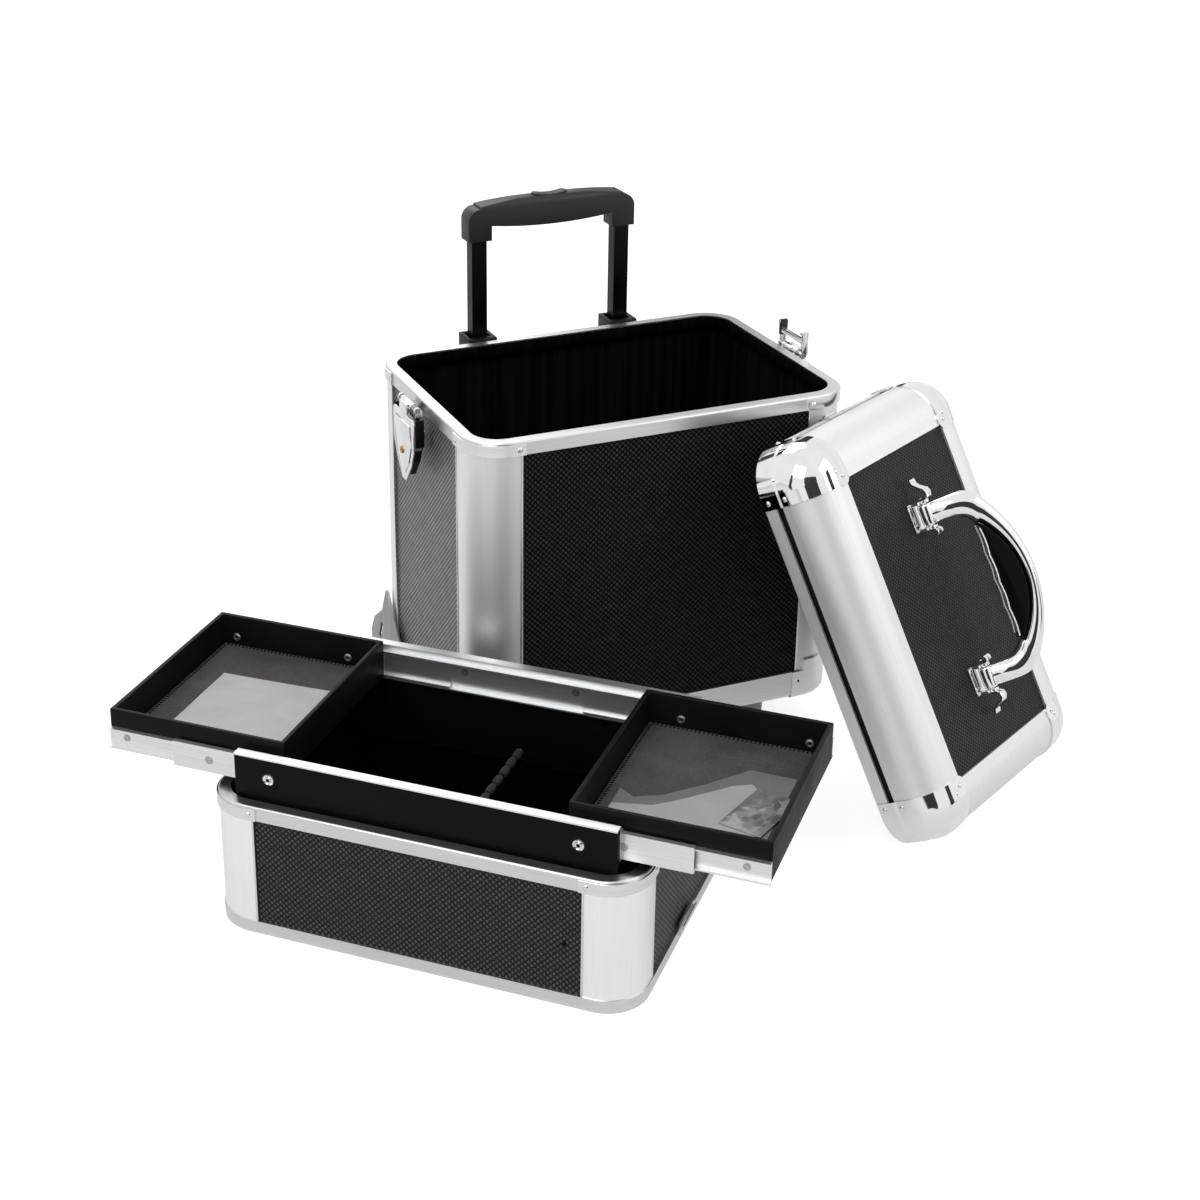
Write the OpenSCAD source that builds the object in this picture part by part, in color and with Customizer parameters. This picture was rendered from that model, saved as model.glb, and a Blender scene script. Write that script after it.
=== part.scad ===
// Rolling makeup case, taken apart into its three stacking sections:
// a deep wheeled trunk, a tray section with two sliding trays, and a lid that leans on the trunk.
// Millimetres, +Z up. The origin is the centre of the front left foot's pad, front at -Y.

/* [Case footprint] */
// Width of every section, side to side
case_w = 360; // [300:1:460]
// Depth of every section, front to back
case_d = 248; // [220:1:320]
// Radius of the rounded upright corners
corner_r = 34; // [30:0.5:40]

/* [Walls and aluminium frame] */
// Thickness of a plywood panel
panel_t = 4; // [3:0.5:5]
// Thickness of an aluminium corner post's flange over the panels
post_t = 1.5; // [1:0.1:2]
// Reach of a corner post's flange from the outside corner
post_reach = 42.5; // [40:0.5:50]
// Thickness of the cloth lining
lining_t = 1.5; // [1:0.1:2]
// Width of a rim, seen from above
rim_w = 9.5; // [8.5:0.1:11]
// How far a rim stands out past the posts
rim_proud = 0.8; // [0.4:0.1:1]
// Radius of a rim's rounded outer edge
rim_edge_r = 2; // [1:0.1:3]
// Thickness of a stamped corner bracket or corner cap
plate_t = 1.2; // [0.8:0.1:1.5]
// Diameter of a rivet's head
rivet_d = 5; // [4:0.5:6]
// Height of a rivet's domed head
rivet_h = 1.2; // [0.8:0.1:1.6]
// Play between pieces that are fitted together
fit_gap = 0.2; // [0.1:0.05:0.3]

/* [Trunk] */
// Height of the trunk's underside above the floor
trunk_bottom = 43; // [43:0.5:50]
// Height of the trunk's rim above the floor
trunk_top = 342; // [320:1:420]
// Height of the trunk's top rim
trunk_rim_h = 12.5; // [11:0.5:14]
// Height of the trunk's bottom rails
rail_h = 27; // [24:0.5:32]
// Width of a bottom rail's foot under the floor
rail_foot = 20; // [16:0.5:24]
// Thickness of a bottom rail's foot
rail_t = 2; // [1.5:0.1:2.5]
// Radius along the lower outer edge of the bottom rails
rail_edge_r = 5; // [3:0.5:6]
// Thickness of the floor panels
floor_t = 5; // [4:0.5:6]
// How far a bottom corner cap climbs over its post
cap_climb = 11; // [8:0.5:14]
// How far a corner cap or bracket runs past the rounded corner
cap_run = 12; // [8:0.5:16]
// Top diameter of a front foot
foot_d = 30; // [24:1:34]
// Bottom diameter of a front foot
foot_pad_d = 26; // [20:1:30]
// Distance of a foot from the case's side
foot_side_in = 70; // [60:1:90]
// Distance of a foot from the case's front
foot_front_in = 38; // [38:1:50]

/* [Wheels] */
// Diameter of a wheel over its tyre
wheel_d = 37; // [32:0.5:37]
// Width of a tyre
tyre_w = 22; // [18:0.5:24]
// Thickness of a tyre
tyre_t = 4.5; // [3:0.5:6]
// Width of a wheel's hub
hub_w = 28; // [25:0.5:29]
// Diameter of an axle
axle_d = 6; // [5:0.5:7]
// Distance of the axle behind the trunk's back
axle_back = 4; // [2:0.5:8]
// Running clearance of pins and axles in their bores, on the radius
run_gap = 0.08; // [0.05:0.01:0.1]
// Height of the wheel bracket's pointed fin above the trunk's underside
fin_h = 69; // [60:1:80]
// Thickness of the wheel bracket's plates
bracket_t = 2.5; // [2:0.1:3]
// Inside width between a wheel bracket's cheeks
bracket_w = 32; // [31:0.5:36]

/* [Pull handle] */
// Distance between the handle's two tubes, centre to centre
tube_pitch = 146; // [120:1:170]
// Width of an upper tube
tube_w = 15; // [13:0.5:16]
// Depth of an upper tube, front to back
tube_d = 13; // [12:0.5:14]
// Wall of every handle tube
tube_wall = 1; // [0.8:0.1:1.2]
// Play on each side between telescoping tubes
tube_gap = 0.35; // [0.3:0.05:0.5]
// Distance of the tubes' centre behind the trunk's back
tube_back = 16.5; // [15:0.5:20]
// Height of the guide tubes' foot above the trunk's underside
guide_foot = 9; // [6:0.5:14]
// Height of the guide tubes' collar above the trunk's rim
collar_above = 2; // [0.5:0.5:6]
// Height of a guide tube's collar and of its lower clamp
collar_h = 16; // [12:0.5:18]
// Length of the upper tubes that shows between collar and grip
tube_shown = 93; // [60:1:130]
// Length of an upper tube
upper_len = 295; // [270:1:295]
// Width of the grip
grip_w = 169; // [165:1:175]
// Depth of the grip, front to back
grip_d = 20; // [19:0.5:28]
// Height of the grip at its middle, from the sockets' mouth
grip_h = 38; // [35:0.5:46]
// Thickness of the grip's bar at its middle
grip_bar = 28; // [25:0.5:32]
// Width of a socket that takes a tube
socket_w = 23; // [22:0.5:26]
// How far a tube goes into its socket
socket_in = 14; // [10:0.5:18]
// Drop of the grip's arched top from its middle to its ends
grip_arch = 7; // [4:0.5:10]
// Length of the release button
button_l = 36; // [28:1:44]
// Width of the release button
button_w = 11; // [9:0.5:13]
// Height of the release button's body
button_h = 9; // [8:0.5:12]
// How far the release button stands above the grip
button_up = 1; // [0.5:0.1:1.5]
// Travel of the release button
button_travel = 3; // [2:0.5:4]
// Play around the release button
button_gap = 0.4; // [0.3:0.05:0.6]

/* [Latches] */
// Distance of a latch's pivot from the case's side
latch_out = 11; // [10.5:0.1:13]
// Depth of a latch's pivot below the rim
latch_drop = 4; // [3:0.5:5]
// Place of the latches along the case's sides, from the middle towards the back
latch_y = 4; // [-10:0.5:15]
// Diameter of a latch's pivot pin
latch_pin_d = 4; // [3:0.5:4.5]
// Width of a latch's lever plate
lever_w = 52; // [40:1:56]
// Length of the trunk's lever plate below its pivot
lever_len = 70; // [55:1:80]
// Length of the tray section's lever plate below its pivot
short_lever_len = 52; // [44:1:58]
// Thickness of a lever plate
lever_t = 1.8; // [1.5:0.1:2.2]
// Width of a latch's barrel
barrel_w = 18; // [14:0.5:22]
// Distance from a trunk latch's middle to the outside of its draw hook's arms
hook_half = 21.5; // [16:0.5:22]
// Length of a draw hook from its pivot
hook_len = 22; // [18:0.5:26]
// Thickness of a draw hook's arms
hook_t = 2.4; // [2:0.1:3]
// Angle at which the right draw hook stands, from hanging straight down
hook_up = 180; // [170:1:185]
// Reach of a keeper's ledge past the rim
keeper_reach = 4; // [3:0.5:5]
// Height of the tray section's keepers above its base
section_keeper_z = 12; // [10:0.5:14]
// Height of the lid's keepers above its rim
lid_keeper_z = 8; // [6.5:0.5:9]

/* [Tray section] */
// Height of the tray section's body
section_h = 118; // [112:1:122]
// Height of the tray section's top rim
section_rim_h = 12; // [10:0.5:14]
// Height of the tray section's bottom rim
section_base_h = 12; // [10:0.5:14]
// Turn of the tray section against the trunk
section_turn = -43.65; // [-50:0.05:-38]
// Gap between the tray section's back and the trunk's front corner
section_gap = 9; // [6:0.5:30]
// Shift of the tray section along its own width
section_shift = 45.3; // [20:0.1:60]

/* [Runners and trays] */
// Gap between a runner board's end and the rim's rounded corner
board_end_gap = 0.6; // [0.5:0.1:3.9]
// Thickness of a runner board
board_t = 7; // [6:0.5:8]
// Gap between the rim's inner edge and a runner board
board_gap = 4.3; // [4.1:0.1:10]
// Height of the runner boards' top above the tray section's rim
board_top = 35; // [32:0.5:42]
// Depth of a runner board's lower edge below the tray section's rim
board_low = 56; // [38:1:78]
// Sheet thickness of the slides
slide_t = 1.4; // [1.2:0.1:1.5]
// Height of the slides' outer channel
slide_h = 26; // [24:0.5:28]
// Depth of the slides' outer channel
slide_d = 5; // [4.8:0.1:5.6]
// Drop of the slides' outer channel below the boards' top
slide_drop = 3; // [2:0.5:5]
// Play between the slides' members
slide_gap = 0.5; // [0.4:0.05:0.6]
// How much shorter than half a runner board a tray is
tray_end_gap = 1.8; // [1:0.1:12]
// Height of a tray's walls
tray_h = 33.5; // [28:0.5:36]
// Thickness of a tray's walls and floor
tray_wall = 4; // [3:0.5:5]
// Gap from the middle to a closed tray
tray_mid_gap = 1; // [0.8:0.1:3]
// How far the left tray is pulled out
left_pull = 121.5; // [60:0.5:124]
// How far the right tray is pulled out
right_pull = 114; // [60:0.5:124]
// Height of the brush divider's top above the floor
divider_top = 85; // [60:1:110]
// Thickness of the brush divider
divider_t = 5; // [4:0.5:7]
// Number of elastic brush loops along the divider
loop_count = 12; // [6:1:14]

/* [Lid] */
// Height of the lid from its rim to its top
lid_h = 59; // [55:0.5:70]
// Height of the lid's rim
lid_rim_h = 13; // [11:0.5:15]
// Height of the dark band above the lid's rim
lid_band_h = 6; // [4:0.5:8]
// Radius of the lid's rounded profiles
lid_round_r = 32; // [28:0.5:32]
// Thickness of the lid's profiles
lid_skin = 2; // [1.6:0.1:2.4]
// Reach of the lid's profiles over the top panel, from the outside face
lid_reach = 43; // [41:0.5:50]
// Height of the lid corners' lower edge above the open rim
lid_cap_low = 2; // [1.5:0.5:5]
// Radius of the tab at a lid corner's inner end
lid_tab_r = 9; // [7:0.5:11]
// Angle of the leaning lid to the floor
lid_lean = 62.1; // [58:0.1:70]
// Turn of the leaning lid against the trunk
lid_turn = 118; // [112:0.5:124]
// Gap between the lid's rim and the trunk's corner post
lean_gap = 0.4; // [0.3:0.1:3]
// Shift of the lid's middle from the place where it leans
lid_shift = 13.4; // [-20:0.1:30]

/* [Carry handle] */
// Height of the handle's pivot above the lid's top panel
pivot_h = 10; // [9.5:0.5:14]
// Diameter of a saddle's pivot pin
saddle_pin_d = 5; // [4:0.5:6]
// Height of the handle's top above its pivot
arch_h = 71.5; // [66:0.5:78]
// Radius of the handle's top
arch_r = 131; // [120:1:145]
// Radius of the handle's shoulders
arch_end_r = 26; // [23:0.5:30]
// Distance from the handle's middle to the outside of a leg
leg_out = 86; // [82:0.5:92]
// Distance from the handle's middle to the inside of a leg
leg_in = 66; // [62:0.5:68]
// Height of the opening for the hand above the pivot
hand_h = 37.5; // [34:0.5:40]
// Radius of the opening's upper corners
hand_r = 20; // [14:0.5:20]
// Thickness of the moulded grip at its middle
carry_rise = 21.2; // [18:0.2:23]
// Radius of the moulded grip's top
carry_r = 81; // [76:1:90]
// Width of the moulded grip, across the handle
carry_w = 20; // [18.5:0.5:24]
// Width of the chromed arch, across the handle
arch_w = 18; // [16:0.5:18]
// Wall thickness of the chromed arch
arch_t = 3; // [2.5:0.1:4]
// Thickness of a saddle's cheeks
cheek_t = 2.5; // [2:0.1:3]
// Play on each side of a handle's leg in its saddle
cheek_gap = 0.5; // [0.4:0.1:0.8]
// Angle at which the carry handle stands, from upright
carry_tilt = 43; // [0:1:60]

/* [Hidden] */
$fn = 64;

// Finishes
black = "#1b1b1d";
aluminium = "#c9cbcd";
chrome = "#e4e6e8";
steel = "#b4b7ba";
cloth = "#121213";
rubber = "#26262a";
plastic = "#2a2a2d";

// Half sizes and wall planes shared by the trunk and the tray section
half_w = case_w / 2;
half_d = case_d / 2;
wall_t = post_t + panel_t;
straight_w = case_w - 2 * corner_r;
straight_d = case_d - 2 * corner_r;
rim_web = 3;
rim_slot = panel_t + 2 * fit_gap;
cap_out = rim_proud + plate_t;

// Trunk's middle on the floor, as seen from its front left foot
home = [half_w - foot_side_in, half_d - foot_front_in, 0];

// Trunk levels
rail_top = trunk_bottom + rail_h;
trunk_rim_low = trunk_top - trunk_rim_h;
trunk_floor_z = trunk_bottom + rail_t;

// Wheels
axle_y = half_d + axle_back;
axle_z = wheel_d / 2;
cheek_x = half_w + cap_out;
wheel_x = cheek_x - bracket_w / 2;
cap_low = trunk_bottom - plate_t;

// Pull handle: each stage is the next one's size plus play and wall
tube_y = half_d + tube_back;
stage = 2 * (tube_gap + tube_wall);
guide_low = trunk_bottom + guide_foot;
collar_top = trunk_top + collar_above;
guide_top = collar_top - collar_h / 2;
middle_low = guide_low + 8;
middle_top = guide_top - 2;
socket_z = collar_top + tube_shown;
grip_top = socket_z + grip_h;

// Tray section's place: its back stands off the trunk's front left post
post_x = half_w - corner_r;
post_y = half_d - corner_r;
section_off = corner_r + section_gap + half_d;
section_pos = [
  -post_x + section_off * sin(section_turn) + section_shift * cos(section_turn),
  -post_y - section_off * cos(section_turn) + section_shift * sin(section_turn),
  0
];

// Slides and trays, measured from the tray section's middle
board_out = half_d - rim_w - board_gap;
board_round = sqrt(pow(corner_r - rim_w - board_end_gap, 2) - pow(board_out - post_y, 2));
board_len = 2 * (post_x + board_round);
board_in = board_out - board_t;
rail_in = board_in - slide_t;
board_top_z = section_h + board_top;
board_low_z = section_h - board_low;
slide_top = board_top_z - slide_drop;
slide_low = slide_top - slide_h;
channel_in = rail_in - slide_d;
middle_out = rail_in - slide_gap;
middle_h = slide_h - 2 * slide_t - 2 * slide_gap;
middle_z = slide_low + slide_t + slide_gap;
inner_gap = 0.8;
inner_h = middle_h - 2 * slide_t - 2 * inner_gap;
inner_z = middle_z + slide_t + inner_gap;
inner_out = middle_out - slide_t - inner_gap;
inner_d = 4.6;
tray_half = inner_out - inner_d;
tray_low = inner_z;
tray_l = board_len / 2 - tray_end_gap;
slide_len = tray_l - tray_mid_gap;

// Lid: levels in its own frame, where z = 0 is the open rim and +x is the raised end
lid_half = half_w;
profile_low = lid_rim_h + lid_band_h;
round_z = lid_h - lid_round_r;
lid_panel_top = lid_h - lid_skin;
lid_cap_h = 5;
keeper_low = 1.25 * keeper_reach;
lid_foot = lid_half + rim_proud;
lid_z = lid_foot * sin(lid_lean) + max(
  0,
  plate_t * sin(lid_lean) - lid_cap_low * cos(lid_lean),
  keeper_reach * sin(lid_lean) - lid_keeper_z * cos(lid_lean),
  lever_t * sin(lid_lean) - (lid_keeper_z - keeper_low) * cos(lid_lean)
);

// The lid leans with its raised end, or with its rim where that end stands above the trunk
lean_run = min(lid_foot, (trunk_top - lid_z) / sin(lid_lean));
lean_on_rim = lid_z + lid_foot * sin(lid_lean) > trunk_rim_low;
lean_out = corner_r + lean_gap + (lean_on_rim ? cap_out : 0);
lean_flat = lean_out + lean_run * cos(lid_lean);
lid_pos = [
  post_x - lean_flat * cos(lid_turn) - lid_shift * sin(lid_turn),
  -post_y - lean_flat * sin(lid_turn) + lid_shift * cos(lid_turn),
  lid_z
];

// Carry handle
saddle_pitch = leg_out + leg_in;
leg_half = (leg_out - leg_in) / 2;
arch_sin = (leg_out - arch_end_r) / (arch_r - arch_end_r);
arch_angle = asin(arch_sin);
arch_centre_z = arch_h - arch_r;
end_centre_z = arch_centre_z + (arch_r - arch_end_r) * cos(arch_angle);
pivot_z = lid_panel_top + pivot_h;
carry_half = sqrt(pow(carry_r, 2) - pow(carry_r - carry_rise, 2));
leg_neck = 16;

// Places a piece in the trunk's frame
module at_trunk() {
  translate(home)
    children();
}

// Places a piece in the tray section's frame
module at_section() {
  translate(home + section_pos)
    rotate([0, 0, section_turn])
      children();
}

// Places a piece in the leaning lid's frame
module at_lid() {
  translate(home + lid_pos)
    rotate([0, 0, lid_turn])
      rotate([0, -lid_lean, 0])
        children();
}

// A rounded rectangle, exact arcs at its corners
module round_rect(w, d, r) {
  square([w - 2 * r, d], center = true);
  square([w, d - 2 * r], center = true);
  for (x = [-1, 1])
    for (y = [-1, 1])
      translate([x * (w / 2 - r), y * (d / 2 - r)])
        circle(r);
}

// One straight side of a swept frame: 2D x points outwards, 2D y points up
module side_sweep(length, out) {
  translate([0, out, 0])
    rotate([90, 0, 90])
      linear_extrude(length, center = true)
        children();
}

// One rounded corner of a swept frame
module corner_sweep(w, d, r) {
  translate([w / 2 - r, d / 2 - r, 0])
    rotate_extrude(angle = 90)
      translate([r, 0])
        children();
}

// A whole frame swept round the case's rounded rectangle
module ring_sweep(w, d, r) {
  for (turn = [0, 180])
    rotate(turn) {
      side_sweep(w - 2 * r, d / 2) children();
      corner_sweep(w, d, r) children();
      rotate(90) {
        side_sweep(d - 2 * r, w / 2) children();
        corner_sweep(d, w, r) children();
      }
    }
}

// Repeats a corner piece at the four corners, which alternate in handedness
module four_corners() {
  for (x = [0, 1])
    for (y = [0, 1])
      mirror([x, 0, 0])
        mirror([0, y, 0])
          children();
}

// Top rim: an inverted channel over the panels' upper edges, its top at z = 0
module rim_profile(h, inner = rim_w) {
  difference() {
    union() {
      translate([-inner, -h])
        square([inner + rim_proud, h - rim_edge_r]);
      translate([-inner, -rim_edge_r])
        square([inner + rim_proud - rim_edge_r, rim_edge_r]);
      translate([rim_proud - rim_edge_r, -rim_edge_r])
        circle(rim_edge_r);
    }
    translate([-wall_t - fit_gap, -h - 1])
      square([rim_slot, h - rim_web + 1]);
  }
}

// A solid edge whose lower outer corner is rounded, its outer face at x = 0
module edge_shape(w, h, r) {
  translate([-w, 0])
    square([w - r, h]);
  translate([-w, r])
    square([w, h - r]);
  translate([-r, r])
    circle(r);
}

// Bottom rail: an angle with a rounded lower edge, its underside at z = 0
module rail_profile() {
  difference() {
    translate([rim_proud, 0])
      edge_shape(rail_foot + rim_proud, rail_h, rail_edge_r);
    translate([-post_t, rail_t])
      edge_shape(rail_foot, rail_h, rail_edge_r - rail_t);
  }
}

// A flat-topped rivet head with a domed edge, standing on z = 0
module rivet() {
  ball_r = (rivet_d * rivet_d / 4 + rivet_h * rivet_h) / (2 * rivet_h);
  intersection() {
    translate([0, 0, rivet_h - ball_r])
      sphere(ball_r);
    cylinder(d = rivet_d, h = rivet_h);
  }
}

// A rivet on the front or back wall, facing along y
module wall_rivet(x, z, out, side) {
  translate([x, side * out, z])
    rotate([-90 * side, 0, 0])
      rivet();
}

// A rivet on a side wall, facing along x
module side_rivet(y, z, out, side) {
  translate([side * out, y, z])
    rotate([0, 90 * side, 0])
      rivet();
}

// Front or back panel of a section, between its corner posts
module long_panel(low, high, side) {
  translate([-straight_w / 2, side * (half_d - post_t - panel_t / 2) - panel_t / 2, low])
    cube([straight_w, panel_t, high - low]);
}

// Side panel of a section
module short_panel(low, high, side) {
  translate([side * (half_w - post_t - panel_t / 2) - panel_t / 2, -straight_d / 2, low])
    cube([panel_t, straight_d, high - low]);
}

// Corner post: a quarter round with a flange over each panel
module corner_post(low, high) {
  flange = post_reach - corner_r;
  translate([half_w - corner_r, half_d - corner_r, low])
    linear_extrude(high - low) {
      intersection() {
        difference() {
          circle(corner_r);
          circle(corner_r - wall_t);
        }
        square(corner_r + 1);
      }
      translate([corner_r - post_t, -flange])
        square([post_t, flange]);
      translate([-flange, corner_r - post_t])
        square([flange, post_t]);
    }
}

// Cloth lining: floor and walls in one cup
module lining_cup(low, high) {
  inset = 2 * (wall_t + fit_gap);
  r = corner_r - wall_t - fit_gap;
  difference() {
    translate([0, 0, low])
      linear_extrude(high - low)
        round_rect(case_w - inset, case_d - inset, r);
    translate([0, 0, low + lining_t])
      linear_extrude(high - low)
        round_rect(case_w - inset - 2 * lining_t, case_d - inset - 2 * lining_t, r - lining_t);
  }
}

// Floor panel inside the walls
module floor_panel(low) {
  inset = 2 * (wall_t + fit_gap);
  translate([0, 0, low])
    linear_extrude(floor_t)
      round_rect(case_w - inset, case_d - inset, corner_r - wall_t - fit_gap);
}

// Stamped bracket round a rim's corner, on the rim's outer face
module rim_bracket(z_top, h) {
  skin = [rim_proud, plate_t];
  translate([0, 0, z_top - rim_edge_r - h]) {
    corner_sweep(case_w, case_d, corner_r)
      translate([skin[0], 0])
        square([skin[1], h]);
    translate([half_w - corner_r - cap_run, half_d + skin[0], 0])
      cube([cap_run, skin[1], h]);
    translate([half_w + skin[0], half_d - corner_r - cap_run, 0])
      cube([skin[1], cap_run, h]);
  }
}

module trunk_long_panels() {
  color(black)
    at_trunk()
      for (side = [-1, 1])
        long_panel(trunk_bottom + rail_edge_r, trunk_top - rim_web, side);
}

module trunk_side_panels() {
  color(black)
    at_trunk()
      for (side = [-1, 1])
        short_panel(trunk_bottom + rail_edge_r, trunk_top - rim_web, side);
}

module trunk_floor() {
  color(black)
    at_trunk()
      floor_panel(trunk_floor_z);
}

module trunk_corner_posts() {
  color(aluminium)
    at_trunk()
      four_corners()
        corner_post(rail_top, trunk_rim_low);
}

module trunk_top_rim() {
  color(aluminium)
    at_trunk()
      translate([0, 0, trunk_top])
        ring_sweep(case_w, case_d, corner_r)
          rim_profile(trunk_rim_h);
}

module trunk_rim_brackets() {
  color(chrome)
    at_trunk()
      four_corners()
        rim_bracket(trunk_top, trunk_rim_h - rim_edge_r);
}

module trunk_bottom_rails() {
  color(aluminium)
    at_trunk()
      translate([0, 0, trunk_bottom])
        for (turn = [0, 180])
          rotate(turn) {
            side_sweep(straight_w, half_d) rail_profile();
            rotate(90)
              side_sweep(straight_d, half_w) rail_profile();
          }
}

// Bottom corner cap: a rounded corner with a skin that laps over the post and the rails
module trunk_corner_caps() {
  skin_h = rail_h + cap_climb + plate_t;
  round_r = rail_edge_r + plate_t;
  color(aluminium)
    at_trunk()
      four_corners()
        translate([0, 0, cap_low]) {
          corner_sweep(case_w, case_d, corner_r)
            difference() {
              union() {
                translate([cap_out, 0])
                  edge_shape(rail_foot + cap_out, rail_h + plate_t, round_r);
                translate([0, round_r])
                  square([cap_out, skin_h - round_r]);
              }
              translate([-rail_foot - 1, plate_t + rail_t])
                square([rail_foot + 1 - wall_t, 2 * rail_h]);
            }
          cap_lap(case_w, case_d);
          mirror([1, -1, 0])
            cap_lap(case_d, case_w);
        }
}

// The part of a bottom corner cap that laps over one rail
module cap_lap(w, d) {
  translate([w / 2 - corner_r - cap_run / 2, d / 2, 0])
    rotate([90, 0, 90])
      linear_extrude(cap_run, center = true)
        difference() {
          translate([cap_out, 0])
            edge_shape(rail_foot + cap_out, rail_h + plate_t, rail_edge_r + plate_t);
          translate([rim_proud, plate_t])
            edge_shape(rail_foot + cap_out + 1, rail_h + plate_t, rail_edge_r);
        }
}

module trunk_rivets() {
  run = half_w - corner_r - cap_run / 2;
  side_run = half_d - corner_r - cap_run / 2;
  rim_z = trunk_top - rim_edge_r - (trunk_rim_h - rim_edge_r) / 2;
  cap_z = trunk_bottom + rail_h * 0.6;
  color(steel)
    at_trunk()
      for (x = [-1, 1])
        for (y = [-1, 1])
          for (z = [rim_z, cap_z]) {
            wall_rivet(x * run, z, half_d + cap_out, y);
            if (y < 0 || z == rim_z)
              side_rivet(y * side_run, z, half_w + cap_out, x);
          }
}

module trunk_lining() {
  color(cloth)
    at_trunk()
      lining_cup(trunk_floor_z + floor_t, trunk_rim_low);
}

module trunk_feet() {
  color(rubber)
    at_trunk()
      for (x = [-1, 1])
        translate([x * home[0], -home[1], 0])
          cylinder(h = trunk_floor_z, d1 = foot_pad_d, d2 = foot_d);
}

// Wheel bracket: a pointed fin outside the case, a cheek inside the wheel and a plate that joins them
module wheel_brackets() {
  cheek_low = 0.22 * wheel_d;
  fin = [
    [axle_y - 1.13 * fin_h, trunk_bottom + 0.09 * fin_h],
    [axle_y - 0.435 * fin_h, trunk_bottom + fin_h],
    [axle_y - 0.377 * fin_h, trunk_bottom + fin_h],
    [axle_y - 0.2 * fin_h, trunk_bottom + 0.62 * fin_h],
    [axle_y + 0.145 * fin_h, trunk_bottom + 0.36 * fin_h],
    [axle_y + 0.52 * wheel_d, trunk_bottom + 0.12 * fin_h],
    [axle_y + 0.49 * wheel_d, 0.61 * wheel_d],
    [axle_y + 0.24 * wheel_d, 0.27 * wheel_d],
    [axle_y - 0.24 * wheel_d, 0.27 * wheel_d],
    [axle_y - 0.92 * wheel_d, trunk_bottom - 0.16 * wheel_d]
  ];
  inner_x = cheek_x - bracket_w;
  color(steel)
    at_trunk()
      for (side = [-1, 1])
        mirror([side < 0 ? 1 : 0, 0, 0])
          difference() {
            union() {
              translate([cheek_x, 0, 0])
                rotate([90, 0, 90])
                  linear_extrude(bracket_t)
                    polygon(fin);
              translate([inner_x - bracket_t, axle_y - 0.6 * wheel_d, cap_low - bracket_t])
                cube([bracket_w + 2 * bracket_t, 0.97 * wheel_d, bracket_t]);
              translate([inner_x - bracket_t, axle_y - 0.38 * wheel_d, cheek_low])
                cube([bracket_t, 0.76 * wheel_d, cap_low - cheek_low]);
            }
            translate([0, axle_y, axle_z])
              rotate([0, 90, 0])
                cylinder(d = axle_d, h = case_w);
            translate([cheek_x - 1, axle_y - 0.087 * fin_h, trunk_bottom + 0.16 * fin_h])
              rotate([90, 0, 90])
                linear_extrude(bracket_t + 2)
                  fin_slot();
          }
}

// Long slot in a wheel bracket's fin, with round ends a little wider than its sides
module fin_slot() {
  run = fin_h * [-0.087, 0.203];
  half = 0.04 * fin_h;
  for (end = [0, 1])
    translate(end * run)
      circle(1.14 * half);
  rotate(atan2(run[1], run[0]))
    translate([0, -half])
      square([norm(run), 2 * half]);
}

// Axles: headed pins through both cheeks
module wheel_axles() {
  color(chrome)
    at_trunk()
      for (side = [-1, 1])
        mirror([side < 0 ? 1 : 0, 0, 0])
          translate([cheek_x - bracket_w - bracket_t, axle_y, axle_z])
            rotate([0, 90, 0]) {
              cylinder(d = axle_d, h = bracket_w + 2 * bracket_t);
              translate([0, 0, bracket_w + 2 * bracket_t])
                cylinder(d = axle_d + 4, h = 2);
            }
}

module wheel_place(side) {
  translate([side * wheel_x, axle_y, axle_z])
    rotate([0, 90, 0])
      children();
}

module wheel_tyre(side) {
  color(rubber)
    at_trunk()
      wheel_place(side)
        rotate_extrude()
          difference() {
            union() {
              translate([wheel_d / 2 - tyre_t, -tyre_w / 2])
                square([tyre_t - 2, tyre_w]);
              translate([wheel_d / 2 - tyre_t, -tyre_w / 2 + 2])
                square([tyre_t, tyre_w - 4]);
              for (end = [-1, 1])
                translate([wheel_d / 2 - 2, end * (tyre_w / 2 - 2)])
                  circle(2);
            }
          }
}

module wheel_hub(side) {
  rim_r = wheel_d / 2 - tyre_t;
  color(plastic)
    at_trunk()
      wheel_place(side)
        difference() {
          union() {
            cylinder(d = axle_d + 8, h = hub_w, center = true);
            cylinder(r = rim_r, h = tyre_w, center = true);
          }
          cylinder(d = axle_d + 2 * run_gap, h = hub_w + 2, center = true);
          for (end = [-1, 1])
            translate([0, 0, end * tyre_w / 2])
              difference() {
                cylinder(r = rim_r - 2, h = tyre_w / 2, center = true);
                cylinder(d = axle_d + 8, h = tyre_w, center = true);
              }
        }
}

module left_wheel_tyre() { wheel_tyre(-1); }
module left_wheel_hub() { wheel_hub(-1); }
module right_wheel_tyre() { wheel_tyre(1); }
module right_wheel_hub() { wheel_hub(1); }

// A pair of rectangular tubes, nested by stage: 0 upper, 1 middle, 2 guide
module tube_pair(low, high, level) {
  w = tube_w + level * stage;
  d = tube_d + level * stage;
  for (x = [-1, 1])
    translate([x * tube_pitch / 2, tube_y, low])
      linear_extrude(high - low)
        difference() {
          square([w, d], center = true);
          square([w - 2 * tube_wall, d - 2 * tube_wall], center = true);
        }
}

module handle_guide_tubes() {
  color(black)
    at_trunk()
      tube_pair(guide_low, guide_top, 2);
}

module handle_middle_tubes() {
  color(black)
    at_trunk()
      tube_pair(middle_low, middle_top, 1);
}

module handle_upper_tubes() {
  color(black)
    at_trunk()
      tube_pair(socket_z + socket_in - upper_len, socket_z + socket_in, 0);
}

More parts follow.
